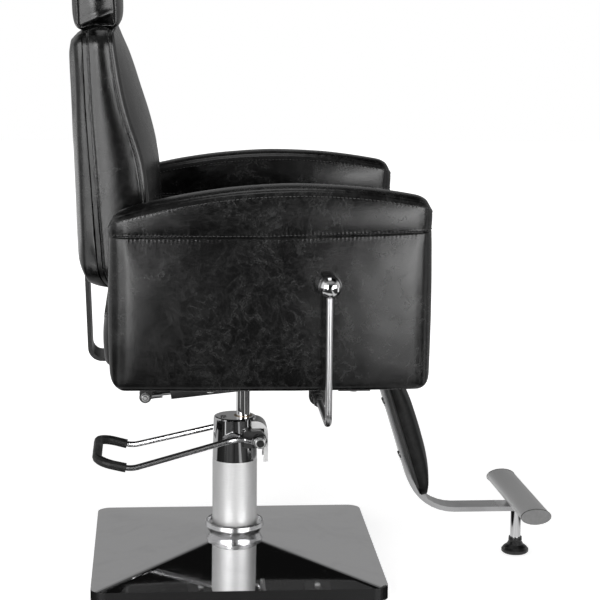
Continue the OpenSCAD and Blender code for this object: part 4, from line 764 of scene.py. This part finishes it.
def back_seams(w, rim, end):
    return rim & np.isin(w, BACK_KNOTS)


SHELL_LEVELS = np.array([0, 0.06, 0.2, 0.5, 0.8, 1.0])
SHELL_GAP, SHELL_THIN, SHELL_WIDER, SHELL_DRAW = 0.0004, 0.002, 0.001, 0.009
SHELL_FOOT_Y, SHELL_OUT, SHELL_FOOT_R, SHELL_TOP_R = -0.012, 0.0158, 0.036, 0.010
SHELL_FLAT_CROWN, SHELL_ROUND_CROWN, SHELL_LOW_FADE, SHELL_TOP_FADE = 0.004, 0.008, 0.03, 0.02


def shell_place(t, z, w):
    d, inset, q, rear, ends = back_edges(z)
    start = rear + SHELL_GAP
    out = np.clip(z / SHELL_FOOT_R, 0, 1) ** 0.6 * np.clip((BACK_H - z) / SHELL_TOP_R, 0.75, 1)
    stop = np.maximum(start + SHELL_THIN, SHELL_FOOT_Y + SHELL_OUT * out)
    draw = SHELL_DRAW * w**2.2
    low_fade = np.clip(d / SHELL_LOW_FADE, 0, 1) ** 0.5
    top_fade = 0.5 + 0.5 * np.clip(d / SHELL_TOP_FADE, 0, 1) ** 0.5
    crown = SHELL_FLAT_CROWN * (1 - np.abs(t) ** 8) + SHELL_ROUND_CROWN * (1 - np.abs(t) ** 2)
    crown = np.where(w >= 1, crown * np.where(ends < 0, low_fade, top_fade), 0)
    x = t * (BACK_HALF + SHELL_WIDER - inset - draw * np.sqrt(1 - q * q))
    return leaned(BACK_AT, BACK_LEAN, x, start + (stop - start) * w + crown, z - ends * q * draw)


def make_back():
    us = np.linspace(-1, 1, BACK_ACROSS)
    front = build_pad(
        "back_cushion_cover", us, BACK_LINES, BACK_LEVELS, back_place, back_seams,
        held_to=0, pressure=4.0, cap=0.006, groove=0.0018, pucker=0.0005,
    )
    rows = [loop_at(back_place, BACK_ACROSS, BACK_LINES, level) for level in BACK_KNOTS[1:3]]
    finish_piece(front, "back", nodes=["back_cushion"])
    finish_piece(stitching("back_stitches", tree_of(front), rows), "back")
    shell = build_pad(
        "back_panel_cover", us, BACK_LINES, SHELL_LEVELS, shell_place, foot_seam,
        held_to=0, pressure=1.5, cap=0.002, groove=0.0004,
    )
    finish_piece(shell, "back", nodes=["back_panel"])


# ---------------------------------------------------------------- headrest
# The lattice's third direction goes from the headrest's right side at -1 to its left side at 1.

HEAD_Y, HEAD_LOW, HEAD_H, HEAD_R = -0.040, 0.488, 0.168, 0.014
HEAD_HALF_T, HEAD_HALF_W, HEAD_EDGE, HEAD_TUCK = 0.0420, 0.1455, 0.12, 0.005
HEAD_FULL, HEAD_PUFF, HEAD_PUFF_R = 0.0032, 0.0100, 0.03
HEAD_ACROSS = 9
HEAD_LINES = spread(0.0, HEAD_H, HEAD_R, HEAD_R, step=0.012)
HEAD_LEVELS = np.array([-1, -0.97, -0.92, -0.84] + [i / 10 for i in range(-7, 8)] + [0.84, 0.92, 0.97, 1])
FOLD_X, FOLD_X_RUN, FOLD_REAR, FOLD_RUN, FOLD_LOW, FOLD_RISE = 0.138, 0.006, 0.036, 0.072, 0.004, 0.028
FOLD_RIDGE, FOLD_RIDGE_AT, FOLD_RIDGE_HALF, FOLD_SLOPE, FOLD_REACH = 0.0022, 0.002, 0.006, 0.42, 0.018


def head_place(t, z, w):
    d, inset, q, ends = two_ends(z, HEAD_H - z, HEAD_R, HEAD_R)
    edge = np.clip((1 - np.abs(w)) / HEAD_EDGE, 0, 1)
    push = HEAD_FULL * np.sin(np.pi * (w + 1) / 2) ** 0.5 - HEAD_TUCK * (1 - edge) ** 2
    y = t * (HEAD_HALF_T - inset + push * np.sqrt(1 - q * q))
    puff = HEAD_PUFF * (1 - np.abs(t) ** 1.6) * np.clip(d / HEAD_PUFF_R, 0, 1) ** 0.5
    x = w * HEAD_HALF_W + np.where(np.abs(w) >= 1, np.sign(w) * puff, 0)
    return leaned(BACK_AT, BACK_LEAN, x, HEAD_Y + y, HEAD_LOW + z + ends * q * push)


def head_folds(co):
    """A curved fold across the foot of each end panel."""
    c, s = math.cos(BACK_LEAN), math.sin(BACK_LEAN)
    y, z = co[:, 1] - BACK_AT[1], co[:, 2] - BACK_AT[2]
    along, up = y * c - z * s - HEAD_Y, y * s + z * c - HEAD_LOW
    share = (FOLD_REAR - along) / FOLD_RUN
    off = up - FOLD_LOW - FOLD_RISE * np.clip(share, 0, 1) ** 0.8
    at_end = np.clip((np.abs(co[:, 0]) - FOLD_X) / FOLD_X_RUN, 0, 1)
    fade = np.sin(np.pi * np.clip(share, 0.02, 0.98)) ** 0.6
    ridge = FOLD_RIDGE * bell(off, FOLD_RIDGE_AT, FOLD_RIDGE_HALF)
    return at_end * fade * (ridge - FOLD_SLOPE * np.clip(-off, 0, FOLD_REACH))


def make_headrest():
    pad = build_pad(
        "headrest_cover", np.linspace(-1, 1, HEAD_ACROSS), HEAD_LINES, HEAD_LEVELS, head_place, edge_seams,
        pressure=4.0, cap=0.004, groove=0.0015, pucker=0.0006, sculpt=head_folds,
    )
    rims = [loop_at(head_place, HEAD_ACROSS, HEAD_LINES, side) for side in (-1, 1)]
    finish_piece(pad, "headrest", nodes=["headrest_pad"])
    finish_piece(piping("headrest_piping", tree_of(pad), rims, radius=0.0028, lift=0.0008), "headrest")


# ---------------------------------------------------------------- calf pad

CALF_AT, CALF_SLOPE = (0.0, -0.3259, 0.2892), math.radians(17.2)
CALF_HALF, CALF_LOW, CALF_H, CALF_R, CALF_BACK = 0.1285, -0.135, 0.258, 0.02, -0.0062
CALF_WRAP, CALF_T, CALF_EDGE, CALF_FULL, CALF_TUCK, CALF_SIDE = 0.0125, 0.0225, 0.0055, 0.0018, 0.006, 0.62
CALF_ACROSS = 20
CALF_LINES = spread(0.0, CALF_H, CALF_R, CALF_R, step=0.013)
CALF_LEVELS = np.array([0, 0.2, 0.4, 0.6, 0.8, 0.92, 1.0])


def calf_place(t, z, w):
    _, inset, q, ends = two_ends(z, CALF_H - z, CALF_R, CALF_R)
    thick = CALF_T * (1 - np.abs(z / CALF_H * 2 - 1) ** 3.4) + CALF_EDGE
    side = np.clip((w - 0.5) * 2, 0, 1)
    push = CALF_FULL * np.sin(np.pi * w) ** 0.8 - CALF_TUCK * side**2.5
    x = t * (CALF_HALF - inset + push * np.sqrt(1 - q * q))
    crown = np.where(w >= 1, (1 - CALF_SIDE) * thick * (1 - np.abs(t) ** 2.4), 0)
    y = CALF_BACK - CALF_WRAP * np.clip(w * 2, 0, 1) - CALF_SIDE * thick * side - crown
    return leaned(CALF_AT, CALF_SLOPE, x, y, z + CALF_LOW + ends * q * push)


def make_calf_pad():
    pad = build_pad(
        "calf_pad_cover", np.linspace(-1, 1, CALF_ACROSS), CALF_LINES, CALF_LEVELS, calf_place, foot_seam,
        held_to=0.25, pressure=3.0, cap=0.003, groove=0.0012, pucker=0.0004,
    )
    pad.data.materials[0] = MATT_LEATHER
    finish_piece(pad, "seat", nodes=["calf_pad"])


# ---------------------------------------------------------------- nuts and cap seams

NUT_SIDES, RING_SIDES, CAP_SIDES = 48, 6, 72
WASHER_T, CHAMFER, RECESS = 0.0012, 0.0004, 0.001
PEDAL_NUT = {"corner": 0.011, "height": 0.0085, "bore": 0.0063, "washer": 0.0125, "dome": -0.003}
PEDAL_NUT_X, PEDAL_AXIS = 0.0605, (-0.049, 0.261)
GAS_PIN_END = {"corner": 0.0078, "height": 0.0034, "bore": 0.0036, "washer": 0.0092, "dome": 0.0012}
GAS_PIN_RIGHT, GAS_PIN_LEFT, GAS_PIN_AXIS = -0.097, -0.043, (0.183, 0.365)
FOOT_TUBE_AT, FOOT_TUBE_YAW, FOOT_TUBE_END = (0.0, -0.594, 0.126), math.radians(3), 0.155
FOOT_OVAL, CAP_SEAM_R = (0.031, 0.016), 0.0007


def circle(count):
    return np.linspace(0, 2 * np.pi, count, endpoint=False)


def add_nut(verts, faces, at, out, corner, height, bore, washer, dome):
    """A chamfered hexagon nut on its washer, pointing out along X, with the end of its bolt."""
    turns = circle(NUT_SIDES)
    flat = corner * math.cos(math.pi / 6) / np.cos((turns + math.pi / 6) % (math.pi / 3) - math.pi / 6)
    round_off = np.minimum(flat, corner * 0.9)
    rings = [
        (0.0, washer), (WASHER_T - 0.75 * CHAMFER, washer), (WASHER_T, washer - CHAMFER),
        (WASHER_T, flat - CHAMFER), (WASHER_T + CHAMFER, flat),
        (height - 3.5 * CHAMFER, flat), (height - CHAMFER, round_off), (height, round_off - 1.5 * CHAMFER),
        (height, bore * 1.3), (height - RECESS, bore * 1.08), (height - RECESS, bore * 0.98),
        (height + dome * 0.6, bore * 0.98), (height + dome * 0.9, bore * 0.8), (height + dome, bore * 0.3),
    ]
    start = len(verts)
    for x, r in rings:
        for a, q in zip(turns, np.broadcast_to(r, turns.shape)):
            verts.append((at[0] + out * x, at[1] + q * math.sin(a), at[2] + q * math.cos(a)))
    for k in range(len(rings) - 1):
        one, two = start + k * NUT_SIDES, start + (k + 1) * NUT_SIDES
        for i in range(NUT_SIDES):
            j = (i + 1) % NUT_SIDES
            faces.append([one + i, one + j, two + j, two + i][::-out])
    last = start + (len(rings) - 1) * NUT_SIDES
    faces.append([start + i for i in range(NUT_SIDES)][::out])
    faces.append([last + i for i in range(NUT_SIDES)][::-out])


def make_nuts(name, body, spots, nut, nodes=()):
    """Nuts on bolts, with a dark line where each nut meets its washer and its bolt."""
    verts, faces, dark_verts, dark_faces = [], [], [], []
    turns, along_x = circle(NUT_SIDES), np.tile((1.0, 0.0, 0.0), (NUT_SIDES, 1))
    washer_line = (nut["corner"] + 0.0004, WASHER_T + 0.0002, 0.0006)
    bolt_line = (nut["bore"] * 1.12, nut["height"] - 0.0004, 0.0007)
    for at, out in spots:
        add_nut(verts, faces, at, out, **nut)
        for r, x, thick in (washer_line, bolt_line):
            xs = np.full(NUT_SIDES, at[0] + out * x)
            ring = np.stack([xs, at[1] + r * np.sin(turns), at[2] + r * np.cos(turns)], axis=1)
            tube_mesh(ring, along_x, thick, RING_SIDES, True, dark_verts, dark_faces)
    finish_piece(link_mesh(name, verts, faces, SLOT_MATERIALS["zinc_steel"]), body, nodes)
    lines = link_mesh(name + "_seats", dark_verts, dark_faces, SLOT_MATERIALS["black_screw"])
    finish_piece(lines, body)


def make_cap_seams():
    """The thin dark line where each end cap meets the oval tube."""
    verts, faces = [], []
    turns = circle(CAP_SIDES)
    c, s = math.cos(FOOT_TUBE_YAW), math.sin(FOOT_TUBE_YAW)
    y, z = FOOT_OVAL[0] * np.cos(turns), FOOT_OVAL[1] * np.sin(turns)
    for x in (-FOOT_TUBE_END, FOOT_TUBE_END):
        path = np.stack([x * c - y * s, x * s + y * c, z], axis=1) + FOOT_TUBE_AT
        tube_mesh(path, np.tile((c, s, 0.0), (CAP_SIDES, 1)), CAP_SEAM_R, RING_SIDES, True, verts, faces)
    finish_piece(link_mesh("footrest_cap_seams", verts, faces, SLOT_MATERIALS["rubber"]), "seat")


def make_hardware():
    pedal_spots = [((side * PEDAL_NUT_X, *PEDAL_AXIS), side) for side in (-1, 1)]
    gas_spots = [((GAS_PIN_RIGHT, *GAS_PIN_AXIS), -1), ((GAS_PIN_LEFT, *GAS_PIN_AXIS), 1)]
    make_nuts("pedal_hex_nuts", "pedal", pedal_spots, PEDAL_NUT, ["pedal_nuts"])
    make_nuts("gas_pin_ends", "back", gas_spots, GAS_PIN_END)
    make_cap_seams()


# ---------------------------------------------------------------- studio

FLOOR_Z, FLOOR_HALF = -0.0004, 9.0
SHEET_REACH = 0.87
REAR_BEAM, FRONT_BEAM = -0.93, 1.32
WALL_LIGHT, REAR_LIGHT, FRONT_LIGHT, ROOM_LIGHT = 0.285, 0.72, 0.45, 0.3
MIDDLE = (0.0, 0.0, 0.6)
# Each light has its place, where it points, its two sides and its power in watts.
LIGHTS = {
    "light_rear_side": ((-2.7, 2.35, 0.95), MIDDLE, (1.8, 1.5), 38),
    "light_front_side": ((-2.75, -2.15, 0.95), MIDDLE, (1.8, 1.5), 52),
    "light_rear_strip": ((-2.5, 0.95, 0.42), (0.0, 0.0, 0.5), (0.5, 0.75), 9),
    "light_front_strip": ((-2.5, -1.0, 0.42), (0.0, 0.0, 0.5), (0.6, 0.75), 9.5),
    "light_headrest": ((-2.5, 0.95, 1.3), (0.0, 0.2, 1.2), (0.5, 0.5), 14),
    "light_top": ((0.3, 0.0, 3.4), MIDDLE, (1.2, 3.0), 16),
}


def painted_ray_glow(s, x, y, far, streaks):
    """Painted glow on the floor, seen only by reflected rays, that the base's cover mirrors as light round
    the chair:
    thin rays, two beams, a pale sector at the left rear, the far rear of the room and a patch at the right
    front.

    The direction on the floor is 0 to the chair's right side and above 0 to its front, in radians.
    """
    turn = s.math("ARCTAN2", s.times(y, -1.0), s.times(x, -1.0))
    one_way = {"noise_dimensions": "1D"}
    fan = s.node("ShaderNodeTexNoise", one_way, W=turn, Scale=5.0, Detail=5.0, Roughness=0.7).outputs["Fac"]
    to_rear = s.remap(s.remap(turn, -0.3, -0.9), 0.0, 1.0, 0.45, 0.55)
    patch = s.times(s.beam(y, -0.5, 0.14), s.remap(x, -0.35, -0.45), s.remap(x, -2.3, -2.1))
    return s.highest(
        s.times(s.remap(fan, 0.5, 0.62, 0.008, 0.1), to_rear),
        s.times(s.beam(turn, REAR_BEAM, 0.07), s.remap(far, 1.32, 1.36)),
        s.times(s.beam(turn, FRONT_BEAM, 0.17), s.remap(far, 1.12, 1.18)),
        s.remap(turn, -2.2, -2.4, 0.0, 0.4),
        s.times(s.remap(far, 3.4, 4.2), s.remap(turn, -0.35, -0.7)),
        s.times(patch, s.remap(streaks, 0.35, 0.5, 0.4, 0.62)),
    )


def painted_sheet_glow(s, x, far, streaks):
    """Painted glow on the floor, seen only by reflected rays, that the cover mirrors as a pale sheet close to
    the base and on its left side.
    """
    pale = s.times(s.remap(streaks, 0.35, 0.55, 0.42, 0.64), s.remap(x, 0.9, 1.6, 1.0, 0.5))
    return s.times(pale, s.highest(s.remap(far, SHEET_REACH, SHEET_REACH - 0.1), s.remap(x, 0.2, 0.35)))


def make_floor():
    half, z = FLOOR_HALF, FLOOR_Z
    corners = [(-half, -half, z), (half, -half, z), (half, half, z), (-half, half, z)]
    s = Shader("studio_floor", Roughness=0.8, Specular_IOR_Level=0.1)
    floor = link_mesh("floor", corners, [[0, 1, 2, 3]], s.material)
    mirrored, direct = s.seen_by("Glossy"), s.seen_by("Camera")
    far = s.node("ShaderNodeVectorMath", {"operation": "LENGTH"}, i0=s.place).outputs["Value"]
    x, y, _ = s.axes()
    streaks = s.noise(scale=3.4, detail=3.0, rough=0.6, stretch=(0.06, 1.0, 1.0))
    # Painted shade: this mask keeps the painted glow off a band round the base, so the cover mirrors a dark
    # floor there
    clear_of_painted_shade = s.highest(s.remap(s.apart(x, 0.0), 0.44, 0.5), s.remap(s.apart(y, 0.0), 0.36, 0.4))
    # Painted reflection: reflected rays see the floor glow in these painted rays, beams and sheets, though it
    # is no lamp
    light = s.highest(painted_sheet_glow(s, x, far, streaks), painted_ray_glow(s, x, y, far, streaks))
    white = s.times(direct, s.remap(far, 0.8, 2.2, 0.8, 1.15))
    dull = s.mix(s.noise(scale=3.0, detail=2.0), grey(0.54), grey(0.58))
    s.surface.inputs["Emission Color"].default_value = (1, 1, 1, 1)
    # Painted shade: reflected rays see a nearly black floor, lit only by the painted glow; the camera and
    # other rays see the pale floor
    s.link(
        Base_Color=s.mix(mirrored, dull, grey(0.003)),
        Emission_Strength=s.plus(white, s.times(mirrored, clear_of_painted_shade, light)),
    )


def make_world():
    """A room for the chair to mirror: pale low down on its left, in front and behind, and pale high up on its
    right. The camera sees white."""
    world = bpy.data.worlds.new("studio")
    scene.world = world
    world.use_nodes = True
    s = Nodes(world.node_tree, "Generated")
    x, y, z = s.axes()
    wall = s.times(s.remap(x, -0.25, 0.5, 0.0, WALL_LIGHT), s.remap(z, 0.42, 0.5, 1.0, 0.015))
    rear = s.times(s.remap(y, 0.35, 0.7), s.remap(z, 0.5, 0.7, REAR_LIGHT, 0.1))
    front = s.times(s.remap(y, -0.9, -0.6, 1.0, 0.0), s.remap(z, 0.5, 0.7, FRONT_LIGHT, 0.08))
    room = s.times(s.remap(x, -0.6, -0.2, 1.0, 0.0), s.remap(z, 0.3, 0.8, 0.015, ROOM_LIGHT))
    light = s.highest(s.plus(s.highest(wall, rear), front, room), s.seen_by("Camera"))
    s.tree.links.new(light, s.tree.nodes["Background"].inputs["Color"])


def make_light(name, at, look_at, size, power):
    data = bpy.data.lights.new(name, "AREA")
    data.shape, data.size, data.size_y, data.energy = "RECTANGLE", size[0], size[1], power
    lamp = bpy.data.objects.new(name, data)
    lamp.location = at
    lamp.rotation_euler = (Vector(look_at) - Vector(at)).to_track_quat("-Z", "Y").to_euler()
    scene.collection.objects.link(lamp)


make_camera()
dress_cad_nodes()
make_arm("right_armrest", -1)
make_arm("left_armrest", 1)
make_seat()
make_back()
make_headrest()
make_calf_pad()
make_hardware()
make_floor()
make_world()
for light_name, facts in LIGHTS.items():
    make_light(light_name, *facts)
